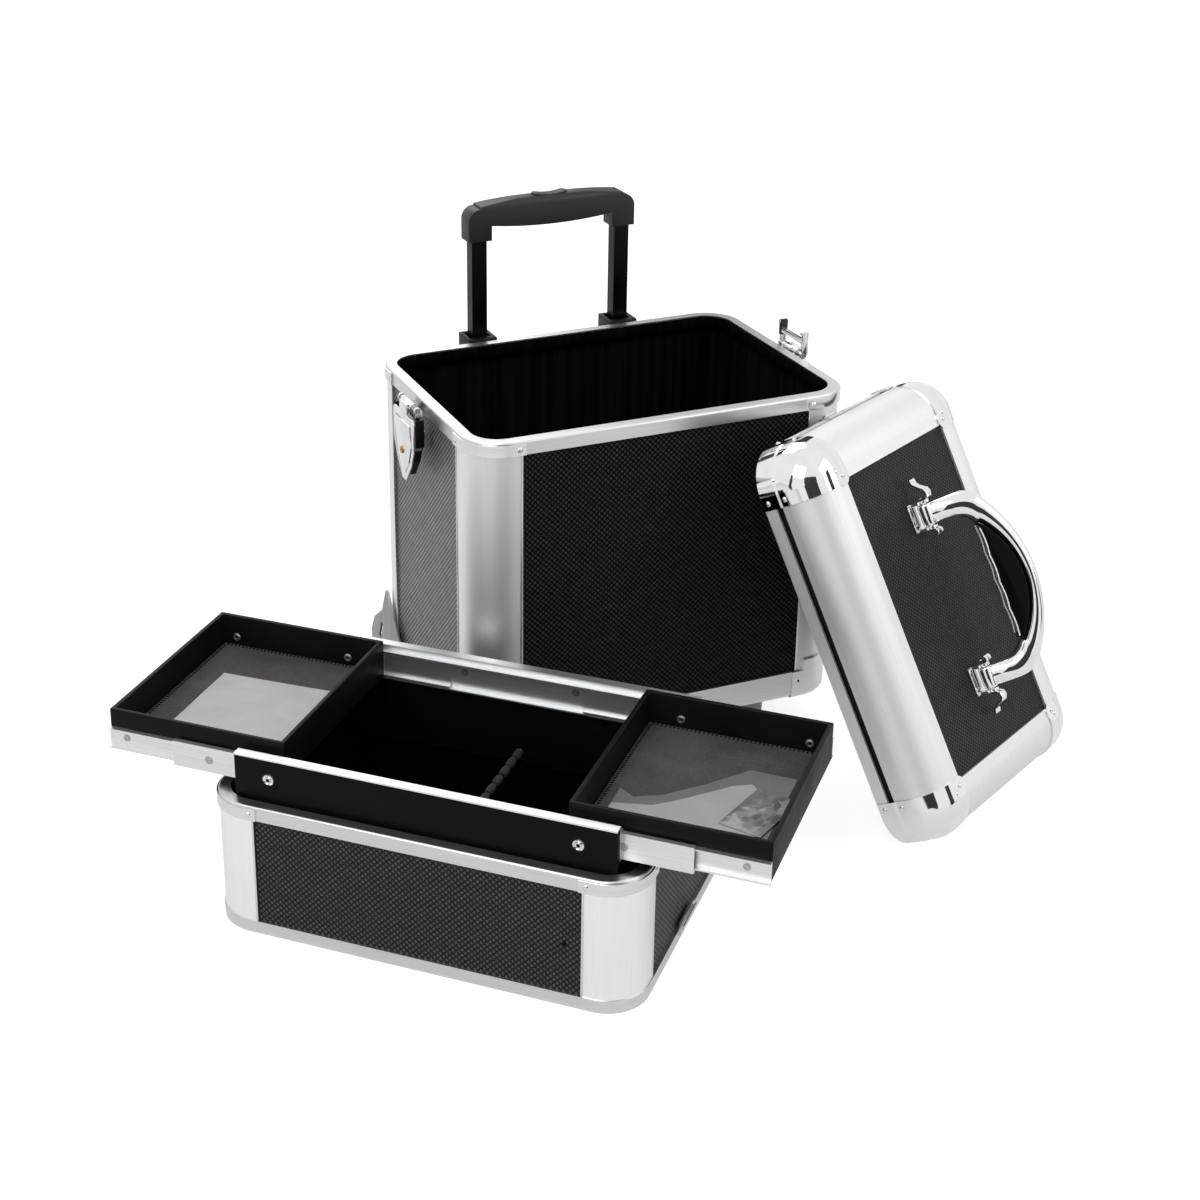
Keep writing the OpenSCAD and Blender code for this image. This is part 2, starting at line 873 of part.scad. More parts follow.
// Collars at the top and clamps at the foot that hold the guide tubes to the back
module handle_clamps() {
  guide_w = tube_w + 2 * stage;
  guide_d = tube_d + 2 * stage;
  mouth_w = tube_w + 2 * tube_gap;
  mouth_d = tube_d + 2 * tube_gap;
  wrap = 4;
  back = tube_y + guide_d / 2 + wrap;
  color(plastic)
    at_trunk()
      for (x = [-1, 1])
        translate([x * tube_pitch / 2, 0, 0]) {
          difference() {
            translate([-guide_w / 2 - wrap, half_d + rim_proud, collar_top - collar_h])
              cube([guide_w + 2 * wrap, back - half_d - rim_proud, collar_h]);
            translate([-guide_w / 2, tube_y - guide_d / 2, collar_top - collar_h - 1])
              cube([guide_w, guide_d, collar_h + 2]);
          }
          difference() {
            translate([-guide_w / 2 - wrap, half_d + rim_proud, guide_low])
              cube([guide_w + 2 * wrap, back - half_d - rim_proud, collar_h]);
            translate([-guide_w / 2, tube_y - guide_d / 2, guide_low - 1])
              cube([guide_w, guide_d, collar_h + 2]);
          }
        }
}

// Front outline of the grip: an arched bar with a socket at each end
module grip_outline() {
  top_r = (grip_w * grip_w / 4 + grip_arch * grip_arch) / (2 * grip_arch);
  low_span = grip_w - 2 * socket_w;
  belly = 4;
  low_r = (low_span * low_span / 4 + belly * belly) / (2 * belly);
  bar_low = grip_h - grip_bar;
  intersection() {
    union() {
      translate([-grip_w / 2, 0])
        square([grip_w, grip_h]);
    }
    translate([0, grip_h - top_r])
      circle(top_r, $fn = 256);
    difference() {
      translate([-grip_w / 2, -1])
        square([grip_w, grip_h + 2]);
      difference() {
        translate([-low_span / 2, -2])
          square([low_span, bar_low + belly + 2]);
        translate([0, bar_low + low_r])
          circle(low_r, $fn = 256);
      }
    }
    union() {
      end_r = 12;
      translate([-grip_w / 2, -1])
        square([grip_w, grip_h - grip_arch - end_r + 1]);
      translate([-grip_w / 2 + end_r, -1])
        square([grip_w - 2 * end_r, grip_h + 2]);
      for (x = [-1, 1])
        translate([x * (grip_w / 2 - end_r), grip_h - grip_arch - end_r])
          circle(end_r);
    }
  }
}

// Side outline of the grip: rounded over the top
module grip_section() {
  r = 0.42 * grip_d;
  translate([-grip_d / 2, -1])
    square([grip_d, grip_h - r + 1]);
  translate([-grip_d / 2 + r, -1])
    square([grip_d - 2 * r, grip_h + 1]);
  for (y = [-1, 1])
    translate([y * (grip_d / 2 - r), grip_h - r])
      circle(r);
}

// Outline of the release button, rounded at its ends
module button_outline(grow) {
  w = button_w + 2 * grow;
  square([button_l - button_w, w], center = true);
  for (x = [-1, 1])
    translate([x * (button_l - button_w) / 2, 0])
      circle(d = w);
}

module handle_grip() {
  color(plastic)
    at_trunk()
      translate([0, tube_y, socket_z])
        difference() {
          intersection() {
            rotate([90, 0, 0])
              linear_extrude(grip_d + 2, center = true)
                grip_outline();
            rotate([90, 0, 90])
              linear_extrude(grip_w + 2, center = true)
                grip_section();
          }
          for (x = [-1, 1])
            translate([x * tube_pitch / 2, 0, socket_in / 2 - 1])
              cube([tube_w, tube_d, socket_in + 2], center = true);
          translate([0, 0, grip_h + button_up - button_h - button_travel - button_gap])
            linear_extrude(grip_h)
              button_outline(button_gap);
        }
}

// Release button, scooped along its top
module release_button() {
  scoop_r = 60;
  color(black)
    at_trunk()
      translate([0, tube_y, grip_top + button_up])
        difference() {
          translate([0, 0, -button_h])
            linear_extrude(button_h)
              button_outline(0);
          translate([0, 0, scoop_r - 1.5])
            rotate([90, 0, 0])
              cylinder(r = scoop_r, h = 2 * button_w, center = true, $fn = 128);
        }
}

// Places a latch on one side of a section whose rim is at top; x points out from the side
module latch_place(top, side) {
  mirror([side < 0 ? 1 : 0, 0, 0])
    translate([half_w, latch_y, top])
      children();
}

// Latch base: a plate on the panel under the rim, two ears and the pivot pin between them
module latch_base(rim_h, pin_half) {
  plate_low = -rim_h - 0.43 * lever_len;
  ear_t = 0.75 * latch_pin_d;
  ear_in = barrel_w / 2 + fit_gap * 2;
  ear_r = latch_pin_d / 2 + 2;
  translate([-post_t, -ear_in - ear_t, plate_low])
    cube([post_t + rim_proud, 2 * (ear_in + ear_t), -rim_h - plate_low]);
  for (y = [-1, 1])
    translate([0, y * (ear_in + ear_t / 2), 0])
      rotate([90, 0, 0])
        linear_extrude(ear_t, center = true) {
          translate([latch_out, -latch_drop])
            circle(ear_r);
          polygon([
            [0, -rim_h - 0.2 * lever_len],
            [rim_proud, -rim_h],
            [latch_out - ear_r, -latch_drop],
            [latch_out + ear_r, -latch_drop],
            [rim_proud, -rim_h - 0.23 * lever_len]
          ]);
        }
  translate([latch_out, 0, -latch_drop])
    rotate([90, 0, 0])
      cylinder(d = latch_pin_d, h = 2 * max(pin_half, ear_in + ear_t), center = true);
}

// Outline of a lever plate: a shield that comes to a point, notched at its top corners
module lever_outline(length) {
  half = lever_w / 2;
  notch = barrel_w / 2 + 5.5;
  polygon([
    [-half + 4, -7],
    [-half, -10],
    [-half, -length * 0.52],
    [-half * 0.72, -length * 0.74],
    [-5, -length],
    [5, -length],
    [half * 0.72, -length * 0.74],
    [half, -length * 0.52],
    [half, -10],
    [half - 4, -7],
    [notch, -7],
    [notch - 5.5, -7],
    [notch - 5.5, 3],
    [-notch + 5.5, 3],
    [-notch + 5.5, -7],
    [-notch, -7]
  ]);
}

// Latch lever: a barrel on the pin and a shield plate with folded sides, and on request a claw
module latch_lever(length, claw) {
  barrel_r = latch_pin_d / 2 + 2;
  plate_in = barrel_r + 0.5;
  skirt = 6;
  translate([latch_out, 0, -latch_drop])
    difference() {
      union() {
        rotate([90, 0, 0])
          cylinder(r = barrel_r, h = barrel_w, center = true);
        translate([0, -barrel_w / 2, -barrel_r])
          cube([plate_in, barrel_w, barrel_r + 3]);
        translate([plate_in, 0, 0])
          rotate([90, 0, 90])
            linear_extrude(lever_t)
              lever_outline(length);
        for (y = [-1, 1])
          translate([plate_in - skirt, y * (lever_w / 2 - lever_t / 2) - lever_t / 2, -length * 0.5])
            cube([skirt, lever_t, length * 0.5 - 11]);
        if (claw) {
          translate([-1.5, -6, 0])
            cube([3, 12, 8.5]);
          translate([-4.5, -6, 6.5])
            cube([5, 12, 2]);
        }
      }
      rotate([90, 0, 0])
        cylinder(d = latch_pin_d + 2 * run_gap, h = barrel_w + 2, center = true);
      translate([plate_in - 1, 0, -length * 0.6])
        rotate([0, 90, 0])
          cylinder(d = 3, h = lever_t + 2);
    }
}

module trunk_latch_bases() {
  color(steel)
    at_trunk()
      for (side = [-1, 1])
        latch_place(trunk_top, side)
          latch_base(trunk_rim_h, hook_half);
}

module left_trunk_lever() {
  color(chrome)
    at_trunk()
      latch_place(trunk_top, -1)
        latch_lever(lever_len, false);
}

module right_trunk_lever() {
  color(chrome)
    at_trunk()
      latch_place(trunk_top, 1)
        latch_lever(lever_len, false);
}

// Draw hook: two flat arms on the latch's pin, joined by a bar, each with a lip that grips a keeper
module draw_hook(swing) {
  eye_r = latch_pin_d / 2 + 1.4;
  arm_in = 4.4;
  arm_out = 2;
  lip = 1.6;
  bar_h = 5;
  horn = 6;
  translate([latch_out, 0, -latch_drop])
    rotate([0, -swing, 0])
      difference() {
        union() {
          for (y = [-1, 1])
            translate([0, y * (hook_half - hook_t / 2), 0]) {
              rotate([90, 0, 0])
                cylinder(r = eye_r, h = hook_t, center = true);
              translate([-arm_in, -hook_t / 2, -hook_len])
                cube([arm_in + arm_out, hook_t, hook_len]);
              translate([arm_out, -hook_t / 2, -hook_len])
                cube([lip, hook_t, lip]);
            }
          translate([arm_out - 3.2, -hook_half, -hook_len + horn])
            cube([3.2, 2 * hook_half, bar_h]);
        }
        rotate([90, 0, 0])
          cylinder(d = latch_pin_d + 2 * run_gap, h = 3 * hook_half, center = true);
      }
}

module left_trunk_hook() {
  color(steel)
    at_trunk()
      latch_place(trunk_top, -1)
        draw_hook(0);
}

module right_trunk_hook() {
  color(steel)
    at_trunk()
      latch_place(trunk_top, 1)
        draw_hook(hook_up);
}

module section_wall_panels() {
  color(black)
    at_section()
      for (side = [-1, 1]) {
        long_panel(rail_t, section_h - rim_web, side);
        short_panel(rail_t, section_h - rim_web, side);
      }
}

module section_floor() {
  color(black)
    at_section()
      floor_panel(rail_t);
}

module section_corner_posts() {
  color(aluminium)
    at_section()
      four_corners()
        corner_post(section_base_h, section_h - section_rim_h);
}

module section_top_rim() {
  color(aluminium)
    at_section()
      translate([0, 0, section_h])
        ring_sweep(case_w, case_d, corner_r)
          rim_profile(section_rim_h);
}

// Bottom rim: an angle under the walls and the floor
module section_bottom_rim() {
  color(aluminium)
    at_section()
      ring_sweep(case_w, case_d, corner_r)
        difference() {
          translate([rim_proud, 0])
            edge_shape(rail_foot + rim_proud, section_base_h, rim_edge_r);
          translate([-rail_foot - 1, rail_t])
            square([rail_foot + 1 - post_t, section_base_h]);
        }
}

module section_rim_brackets() {
  color(chrome)
    at_section()
      four_corners()
        rim_bracket(section_h, section_rim_h - rim_edge_r);
}

module section_rivets() {
  run = half_w - corner_r - cap_run / 2;
  side_run = half_d - corner_r - cap_run / 2;
  rim_z = section_h - rim_edge_r - (section_rim_h - rim_edge_r) / 2;
  color(steel)
    at_section()
      for (x = [-1, 1])
        for (y = [-1, 1]) {
          wall_rivet(x * run, rim_z, half_d + cap_out, y);
          side_rivet(y * side_run, rim_z, half_w + cap_out, x);
        }
}

module section_lining() {
  color(cloth)
    at_section()
      lining_cup(rail_t + floor_t, section_h - section_rim_h);
}

module section_latch_bases() {
  color(steel)
    at_section()
      for (side = [-1, 1])
        latch_place(section_h, side)
          latch_base(section_rim_h, 0);
}

// Keeper on a rim's face: a plate with an upturned lip for a latch's claw
module keeper(z, half) {
  translate([rim_proud, -half, z - keeper_low])
    cube([lever_t, 2 * half, 3 * keeper_reach]);
  translate([rim_proud, -half, z])
    cube([keeper_reach, 2 * half, lever_t]);
  translate([rim_proud + keeper_reach - plate_t, -half, z])
    cube([plate_t, 2 * half, keeper_reach]);
}

module section_keepers() {
  color(steel)
    at_section()
      for (side = [-1, 1])
        latch_place(0, side)
          keeper(section_keeper_z, 4.5 * keeper_reach);
}

module left_section_lever() {
  color(chrome)
    at_section()
      latch_place(section_h, -1)
        latch_lever(short_lever_len, true);
}

module right_section_lever() {
  color(chrome)
    at_section()
      latch_place(section_h, 1)
        latch_lever(short_lever_len, true);
}

// Repeats a runner piece at the front and the back
module front_and_back() {
  for (side = [0, 1])
    mirror([0, side, 0])
      children();
}

// Runner boards with the battens that hold them off the lining
module runner_boards() {
  batten_h = 34;
  batten_in = 20;
  wall_in = half_d - wall_t - fit_gap - lining_t;
  color(black)
    at_section()
      front_and_back() {
        translate([-board_len / 2, board_in, board_low_z])
          cube([board_len, board_t, board_top_z - board_low_z]);
        translate([-board_len / 2 + batten_in, board_out, board_low_z])
          cube([board_len - 2 * batten_in, wall_in - board_out, batten_h]);
      }
}

// Slide rails: a channel on each board's inner face with a cap over its top
module slide_rails() {
  color(aluminium)
    at_section()
      front_and_back()
        translate([-board_len / 2, 0, 0])
          rotate([90, 0, 90])
            linear_extrude(board_len) {
              translate([rail_in, slide_low])
                square([slide_t, board_top_z + slide_t - slide_low]);
              translate([rail_in, board_top_z])
                square([board_t + slide_t, slide_t]);
              for (z = [slide_low, slide_top - slide_t])
                translate([channel_in, z])
                  square([slide_d, slide_t]);
            }
}

// Screws with cup washers through the runner boards
module runner_screws() {
  screw_in = 30;
  screw_drop = 16.5;
  screw_x = board_len / 2 - screw_in;
  screw_z = board_top_z - screw_drop;
  color(chrome)
    at_section()
      front_and_back()
        for (x = [-1, 1])
          translate([x * screw_x, board_out, screw_z])
            rotate([-90, 0, 0]) {
              cylinder(d1 = 9, d2 = 6, h = 1.4);
              cylinder(d = 4, h = 1.8);
            }
}

// Brush divider: an upright panel with a row of elastic loops along its top
module brush_divider() {
  span = 2 * (channel_in - 4);
  pitch = span / loop_count;
  low = rail_t + floor_t + lining_t;
  loop_d = divider_t + 2;
  color(cloth)
    at_section()
      translate([divider_t, 0, 0]) {
        translate([-divider_t / 2, -span / 2, low])
          cube([divider_t, span, divider_top - loop_d / 2 - low]);
        for (i = [0 : loop_count - 1])
          translate([0, (i + 0.5) * pitch - span / 2, divider_top - loop_d / 2])
            rotate([90, 0, 0])
              cylinder(d = loop_d, h = pitch - 2.5, center = true, $fn = 24);
      }
}

// Place of a tray's near end along the section, for the left (-1) or the right (1)
function tray_start(side) = tray_mid_gap + (side < 0 ? left_pull : right_pull);
function slide_start(side) = tray_mid_gap * 2 + (side < 0 ? left_pull : right_pull) / 2;

module tray_place(side) {
  at_section()
    mirror([side < 0 ? 1 : 0, 0, 0])
      children();
}

module tray(side) {
  color(black)
    tray_place(side)
      translate([tray_start(side), -tray_half, tray_low])
        difference() {
          cube([tray_l, 2 * tray_half, tray_h]);
          translate([tray_wall, tray_wall, tray_wall])
            cube([tray_l - 2 * tray_wall, 2 * tray_half - 2 * tray_wall, tray_h]);
        }
}

// Inner slide members: shallow channels along a tray's front and back
module slide_inners(side) {
  color(aluminium)
    tray_place(side)
      front_and_back()
        translate([tray_start(side), 0, 0])
          rotate([90, 0, 90])
            linear_extrude(tray_l) {
              translate([tray_half, inner_z])
                square([slide_t, inner_h]);
              for (z = [inner_z, inner_z + inner_h - slide_t])
                translate([tray_half, z])
                  square([inner_d, slide_t]);
            }
}

// Middle slide members: channels that run half as far as the trays
module slide_middles(side) {
  color(aluminium)
    tray_place(side)
      front_and_back()
        translate([slide_start(side), 0, 0])
          rotate([90, 0, 90])
            linear_extrude(slide_len) {
              translate([middle_out - slide_t, middle_z])
                square([slide_t, middle_h]);
              for (z = [middle_z, middle_z + middle_h - slide_t])
                translate([channel_in, z])
                  square([middle_out - channel_in, slide_t]);
            }
}

module left_tray() { tray(-1); }
module left_slide_inners() { slide_inners(-1); }
module left_slide_middles() { slide_middles(-1); }
module right_tray() { tray(1); }
module right_slide_inners() { slide_inners(1); }
module right_slide_middles() { slide_middles(1); }

// Rounded profile of the lid: a solid quarter round set in from the outside face by inset
module lid_edge(inset) {
  r = lid_round_r - inset;
  intersection() {
    translate([-lid_round_r, round_z])
      circle(r);
    translate([-lid_round_r, round_z])
      square(lid_round_r + plate_t + 1);
  }
  translate([-lid_round_r, profile_low])
    square([r, round_z - profile_low]);
}

// Skin of the lid's profile between two insets, with its flange over the top panel
module lid_skin_profile(outer, inner, reach) {
  difference() {
    lid_edge(outer);
    lid_edge(inner);
  }
  translate([-reach, lid_h - inner])
    square([reach - lid_round_r, inner - outer]);
}

// Long and end profiles; the end profiles' flanges stop short of the long ones
module lid_profiles() {
  stop = half_d - lid_reach - fit_gap;
  color(aluminium)
    at_lid()
      for (turn = [0, 180])
        rotate(turn) {
          side_sweep(straight_w, half_d) lid_skin_profile(0, lid_skin, lid_reach);
          rotate(90)
            difference() {
              side_sweep(straight_d, half_w) lid_skin_profile(0, lid_skin, lid_reach);
              for (end = [0, 1])
                mirror([end, 0, 0])
                  translate([stop, half_w - lid_reach - 1, lid_h - lid_skin - 1])
                    cube([half_d, lid_reach - lid_round_r + 1, lid_skin + 2]);
            }
        }
}

// Chromed ball corner: a rounded corner with laps over both profiles
module lid_corner_caps() {
  tab_in = lid_reach - lid_tab_r / 2;
  color(chrome)
    at_lid()
      four_corners() {
        corner_sweep(case_w, case_d, corner_r) {
          lid_skin_profile(-plate_t, lid_skin, corner_r - 0.3 * rivet_d);
          lid_cap_skirt();
        }
        translate([half_w - corner_r, half_d - corner_r, lid_h])
          cylinder(d = 1.2 * rivet_d, h = plate_t + 0.6);
        translate([half_w - tab_in, half_d - tab_in, lid_h])
          cylinder(r = lid_tab_r, h = plate_t);
        lid_cap_lap(case_w, case_d);
        mirror([1, -1, 0])
          lid_cap_lap(case_d, case_w);
      }
}

// The part of a lid corner that laps over one profile
module lid_cap_lap(w, d) {
  translate([w / 2 - corner_r - cap_run / 2, d / 2, 0])
    rotate([90, 0, 90])
      linear_extrude(cap_run, center = true)
        union() {
          lid_skin_profile(-plate_t, 0, lid_round_r + 8);
          lid_cap_skirt();
        }
}

// Section of a lid corner's skirt over the dark band and the rim
module lid_cap_skirt() {
  polygon([
    [rim_proud, lid_cap_low],
    [cap_out, lid_cap_low],
    [cap_out, profile_low],
    [plate_t, profile_low + cap_out],
    [0, profile_low + cap_out],
    [0, lid_rim_h + fit_gap],
    [rim_proud, lid_rim_h + fit_gap]
  ]);
}

module lid_top_panel() {
  edge = 2 * (lid_round_r + 1.5);
  color(black)
    at_lid()
      translate([0, 0, lid_panel_top - panel_t])
        linear_extrude(panel_t)
          square([case_w - edge, case_d - edge], center = true);
}

// Dark band: the lid's side wall, which shows between the rim and the profiles
module lid_side_band() {
  color(black)
    at_lid()
      ring_sweep(case_w, case_d, corner_r)
        translate([-wall_t, rim_web])
          square([wall_t - lid_skin - fit_gap, profile_low - rim_web + 2]);
}

// Lid rim: the trunk's rim turned over, its open edge at z = 0
module lid_rim() {
  color(aluminium)
    at_lid()
      ring_sweep(case_w, case_d, corner_r)
        mirror([0, 1])
          rim_profile(lid_rim_h);
}

// Lid lining: walls that slope into a flat top
module lid_lining() {
  out = wall_t + fit_gap + 4;
  top_z = lid_panel_top - panel_t - fit_gap;
  slope_z = round_z + 9;
  slope = lid_round_r - 5;
  flat = lid_round_r - 1;
  color(cloth)
    at_lid() {
      ring_sweep(case_w, case_d, corner_r)
        polygon([
          [-out, lid_rim_h + 1],
          [-out, slope_z],
          [-slope, top_z],
          [-flat, top_z],
          [-flat, top_z - lining_t],
          [-slope - lining_t / 2, top_z - lining_t],
          [-out - lining_t, slope_z - lining_t / 2],
          [-out - lining_t, lid_rim_h + 1]
        ]);
      translate([0, 0, top_z - lining_t])
        linear_extrude(lining_t)
          round_rect(case_w - 2 * flat + 2, case_d - 2 * flat + 2, corner_r - flat + 1);
    }
}

// Keepers on the lid's two ends for the tray section's latches
module lid_keepers() {
  color(steel)
    at_lid()
      for (side = [-1, 1])
        latch_place(0, side)
          keeper(lid_keeper_z, 2 * keeper_reach);
}

// Places a piece at the carry handle's pivot axis, which runs along the lid
module at_pivot() {
  at_lid()
    translate([0, 0, pivot_z])
      children();
}

// Saddles: a foot on the panel, two cheeks with the pivot pin between them, a waved wing and a curled clip
module carry_saddles() {
  inner = leg_half + cheek_gap;
  cheek_w = 16;
  wing_w = 8;
  wing = [
    [0, 5], [2, 8.5], [6, 9.5], [10, 7.5], [13, 2.5], [16, -1.5], [20, -2.5], [20, -4.3],
    [15, -3.5], [11.6, 1.2], [8.6, 5.6], [5.6, 7.4], [3, 6.6], [1.6, 4], [1.6, 1], [0, 1]
  ];
  clip = [
    [0, 5], [-2, 7.5], [-5, 7.5], [-6.5, 5.5], [-6, 3], [-4.4, 3],
    [-4.8, 5], [-4.2, 6], [-2.6, 6], [-1.6, 4.4], [-1.6, 1], [0, 1]
  ];
  color(chrome)
    at_pivot()
      for (side = [0, 1])
        mirror([side, 0, 0])
          translate([saddle_pitch / 2, 0, 0]) {
            translate([-inner - cheek_t, -cheek_w / 2 - 4, -pivot_h])
              cube([2 * (inner + cheek_t), cheek_w + 8, 1.5]);
            for (x = [-1, 1])
              translate([x * (inner + cheek_t / 2), 0, 0])
                rotate([0, 90, 0])
                  linear_extrude(cheek_t, center = true) {
                    circle(d = saddle_pin_d + 6);
                    translate([0, -cheek_w / 2])
                      square([pivot_h, cheek_w]);
                  }
            rotate([0, 90, 0])
              cylinder(d = saddle_pin_d, h = 2 * (inner + cheek_t), center = true);
            translate([inner + cheek_t, 0, 0])
              rotate([90, 0, 0])
                linear_extrude(wing_w, center = true)
                  polygon(wing);
            translate([-inner - cheek_t, 0, 0])
              rotate([90, 0, 0])
                linear_extrude(wing_w, center = true)
                  polygon(clip);
          }
}

// Outside of the handle above the necks of its legs, set in all round; 2D y points away from the pivot
module arch_outline(inset) {
  far = 2 * arch_r;
  intersection() {
    translate([0, arch_centre_z])
      circle(arch_r - inset, $fn = 256);
    polygon([
      [0, arch_centre_z],
      [far * arch_sin, arch_centre_z + far * cos(arch_angle)],
      [-far * arch_sin, arch_centre_z + far * cos(arch_angle)]
    ]);
  }
  for (side = [0, 1])
    mirror([side, 0, 0])
      translate([leg_out - arch_end_r, end_centre_z])
        intersection() {
          circle(arch_end_r - inset);
          translate([-far, leg_neck - end_centre_z])
            square([2 * far, far]);
        }
  translate([inset - leg_out, leg_neck])
    square([2 * (leg_out - inset), end_centre_z - leg_neck]);
}

// Opening for the hand, down past the pivots
module hand_outline() {
  low = arch_centre_z - 1;
  translate([-leg_in, low])
    square([2 * leg_in, hand_h - hand_r - low]);
  translate([hand_r - leg_in, low])
    square([2 * (leg_in - hand_r), hand_h - low]);
  for (side = [-1, 1])
    translate([side * (leg_in - hand_r), hand_h - hand_r])
      circle(hand_r);
}

// Segment of a circle that the moulded grip fills, with play at its top
module carry_outline(play) {
  intersection() {
    translate([0, hand_h + carry_rise - carry_r])
      circle(carry_r + play, $fn = 128);
    translate([-leg_out, hand_h])
      square([2 * leg_out, arch_h]);
  }
}

// Chromed arch: a hollow casting open towards the hand, each leg with an eye on its saddle's pin
module carry_arch() {
  eye_r = saddle_pin_d / 2 + 4;
  leg_w = 12;
  skin = 4;
  hollow_low = leg_neck + 4;
  color(chrome)
    at_pivot()
      rotate([carry_tilt, 0, 0])
        difference() {
          union() {
            rotate([90, 0, 0])
              linear_extrude(arch_w, center = true)
                difference() {
                  arch_outline(0);
                  hand_outline();
                  carry_outline(fit_gap / 2);
                  translate([-carry_half - 1, hand_h - 4])
                    square([2 * carry_half + 2, 4]);
                }
            for (side = [-1, 1])
              translate([side * saddle_pitch / 2, 0, 0]) {
                translate([-leg_half, -leg_w / 2, 0])
                  cube([2 * leg_half, leg_w, leg_neck]);
                rotate([0, 90, 0])
                  cylinder(r = eye_r, h = 2 * leg_half, center = true);
              }
          }
          rotate([90, 0, 0])
            linear_extrude(arch_w - 2 * arch_t, center = true)
              intersection() {
                arch_outline(skin);
                translate([-leg_out, hollow_low])
                  square([2 * leg_out, arch_h]);
              }
          rotate([0, 90, 0])
            cylinder(d = saddle_pin_d + 2 * run_gap, h = 2 * saddle_pitch, center = true);
        }
}

// Moulded grip in the arch's middle, with four shallow finger rests along its underside
module carry_grip() {
  rest_pitch = 25;
  rest_r = 66;
  rest_h = 1.1;
  color(plastic)
    at_pivot()
      rotate([carry_tilt, 0, 0])
        rotate([90, 0, 0])
          linear_extrude(carry_w, center = true)
            difference() {
              carry_outline(0);
              for (i = [-1.5 : 1 : 1.5])
                translate([i * rest_pitch, hand_h + rest_h - rest_r])
                  circle(rest_r, $fn = 128);
            }
}

trunk_long_panels();
trunk_side_panels();
trunk_floor();
trunk_corner_posts();
trunk_top_rim();
trunk_rim_brackets();
trunk_bottom_rails();
trunk_corner_caps();
trunk_rivets();
trunk_lining();
trunk_feet();
wheel_brackets();
wheel_axles();
handle_guide_tubes();
handle_clamps();
trunk_latch_bases();
left_wheel_tyre();
left_wheel_hub();
right_wheel_tyre();
right_wheel_hub();
handle_middle_tubes();
handle_upper_tubes();
handle_grip();
release_button();
left_trunk_lever();
right_trunk_lever();
left_trunk_hook();
right_trunk_hook();
section_wall_panels();
section_floor();
section_corner_posts();
section_top_rim();
section_bottom_rim();
section_rim_brackets();
section_rivets();
section_lining();
section_latch_bases();
section_keepers();
left_section_lever();
right_section_lever();
runner_boards();
slide_rails();
runner_screws();
brush_divider();
left_tray();
left_slide_inners();
left_slide_middles();
right_tray();
right_slide_inners();
right_slide_middles();
lid_top_panel();
lid_side_band();
lid_rim();
lid_profiles();
lid_corner_caps();
lid_lining();
lid_keepers();
carry_saddles();
carry_arch();
carry_grip();
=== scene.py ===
"""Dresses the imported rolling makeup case: trunk on wheels, tray section and lid."""

import logging
import math
from dataclasses import dataclass
from enum import Enum
from typing import Dict, List, Optional, Sequence, Tuple, Union

import bmesh  # noqa: E402
import bpy  # noqa: E402
from bmesh.types import BMEdge, BMesh, BMVert  # noqa: E402
from bpy.types import ID, Material, Mesh, Node, NodeSocket, NodeTree, Object  # noqa: E402
from mathutils import Matrix, Vector, noise  # noqa: E402

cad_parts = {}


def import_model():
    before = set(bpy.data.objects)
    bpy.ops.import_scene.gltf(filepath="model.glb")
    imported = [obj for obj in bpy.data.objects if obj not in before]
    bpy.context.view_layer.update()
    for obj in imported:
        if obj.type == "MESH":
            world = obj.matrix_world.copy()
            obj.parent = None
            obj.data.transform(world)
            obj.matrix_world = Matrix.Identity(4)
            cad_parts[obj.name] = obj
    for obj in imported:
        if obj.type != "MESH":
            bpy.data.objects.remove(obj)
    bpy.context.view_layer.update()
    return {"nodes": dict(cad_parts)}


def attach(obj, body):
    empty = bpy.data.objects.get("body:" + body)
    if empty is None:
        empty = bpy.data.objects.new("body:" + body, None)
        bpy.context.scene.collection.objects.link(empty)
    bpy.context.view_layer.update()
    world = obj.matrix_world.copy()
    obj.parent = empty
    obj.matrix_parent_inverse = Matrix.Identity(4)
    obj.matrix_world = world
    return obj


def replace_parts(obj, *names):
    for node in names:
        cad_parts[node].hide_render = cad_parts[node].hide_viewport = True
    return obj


LOG = logging.getLogger("makeup_case")
MM = 0.001

Value = Union[float, Sequence[float], NodeSocket]
Key = Union[int, str]
Flat = Tuple[float, float]
Spot = Tuple[float, float, float]
Profile = Sequence[Flat]

UP = Vector((0.0, 0.0, 1.0))
HERE = Matrix.Identity(4)
ENDS = (-1, 1)
SIDES = ((-1, "left"), (1, "right"))
CORNERS = [(side, end) for side in ENDS for end in ENDS]


def linear(code: str) -> Tuple[float, float, float, float]:
    """Turns an sRGB hex colour into linear RGBA.

    Args:
        code: six hex digits, with or without a leading hash.

    Returns:
        The linear colour with an alpha of one.
    """
    digits = code.lstrip("#")
    parts = [int(digits[i : i + 2], 16) / 255 for i in (0, 2, 4)]
    flat = [c / 12.92 if c <= 0.04045 else ((c + 0.055) / 1.055) ** 2.4 for c in parts]
    return (flat[0], flat[1], flat[2], 1.0)


def add_node(
    tree: NodeTree,
    kind: str,
    inputs: Optional[Dict[Key, Value]] = None,
    **settings: object,
) -> Node:
    """Adds a node, sets its properties, and fills or links its inputs.

    Args:
        tree: the node tree that gets the node.
        kind: the node's type name, without the ShaderNode prefix.
        inputs: a value or an output socket for each named or numbered input.
        **settings: properties of the node itself.

    Returns:
        The new node.
    """
    made = tree.nodes.new("ShaderNode" + kind)
    for name, value in settings.items():
        setattr(made, name, value)
    for key, value in (inputs or {}).items():
        if isinstance(value, NodeSocket):
            tree.links.new(value, made.inputs[key])
        else:
            made.inputs[key].default_value = value
    return made


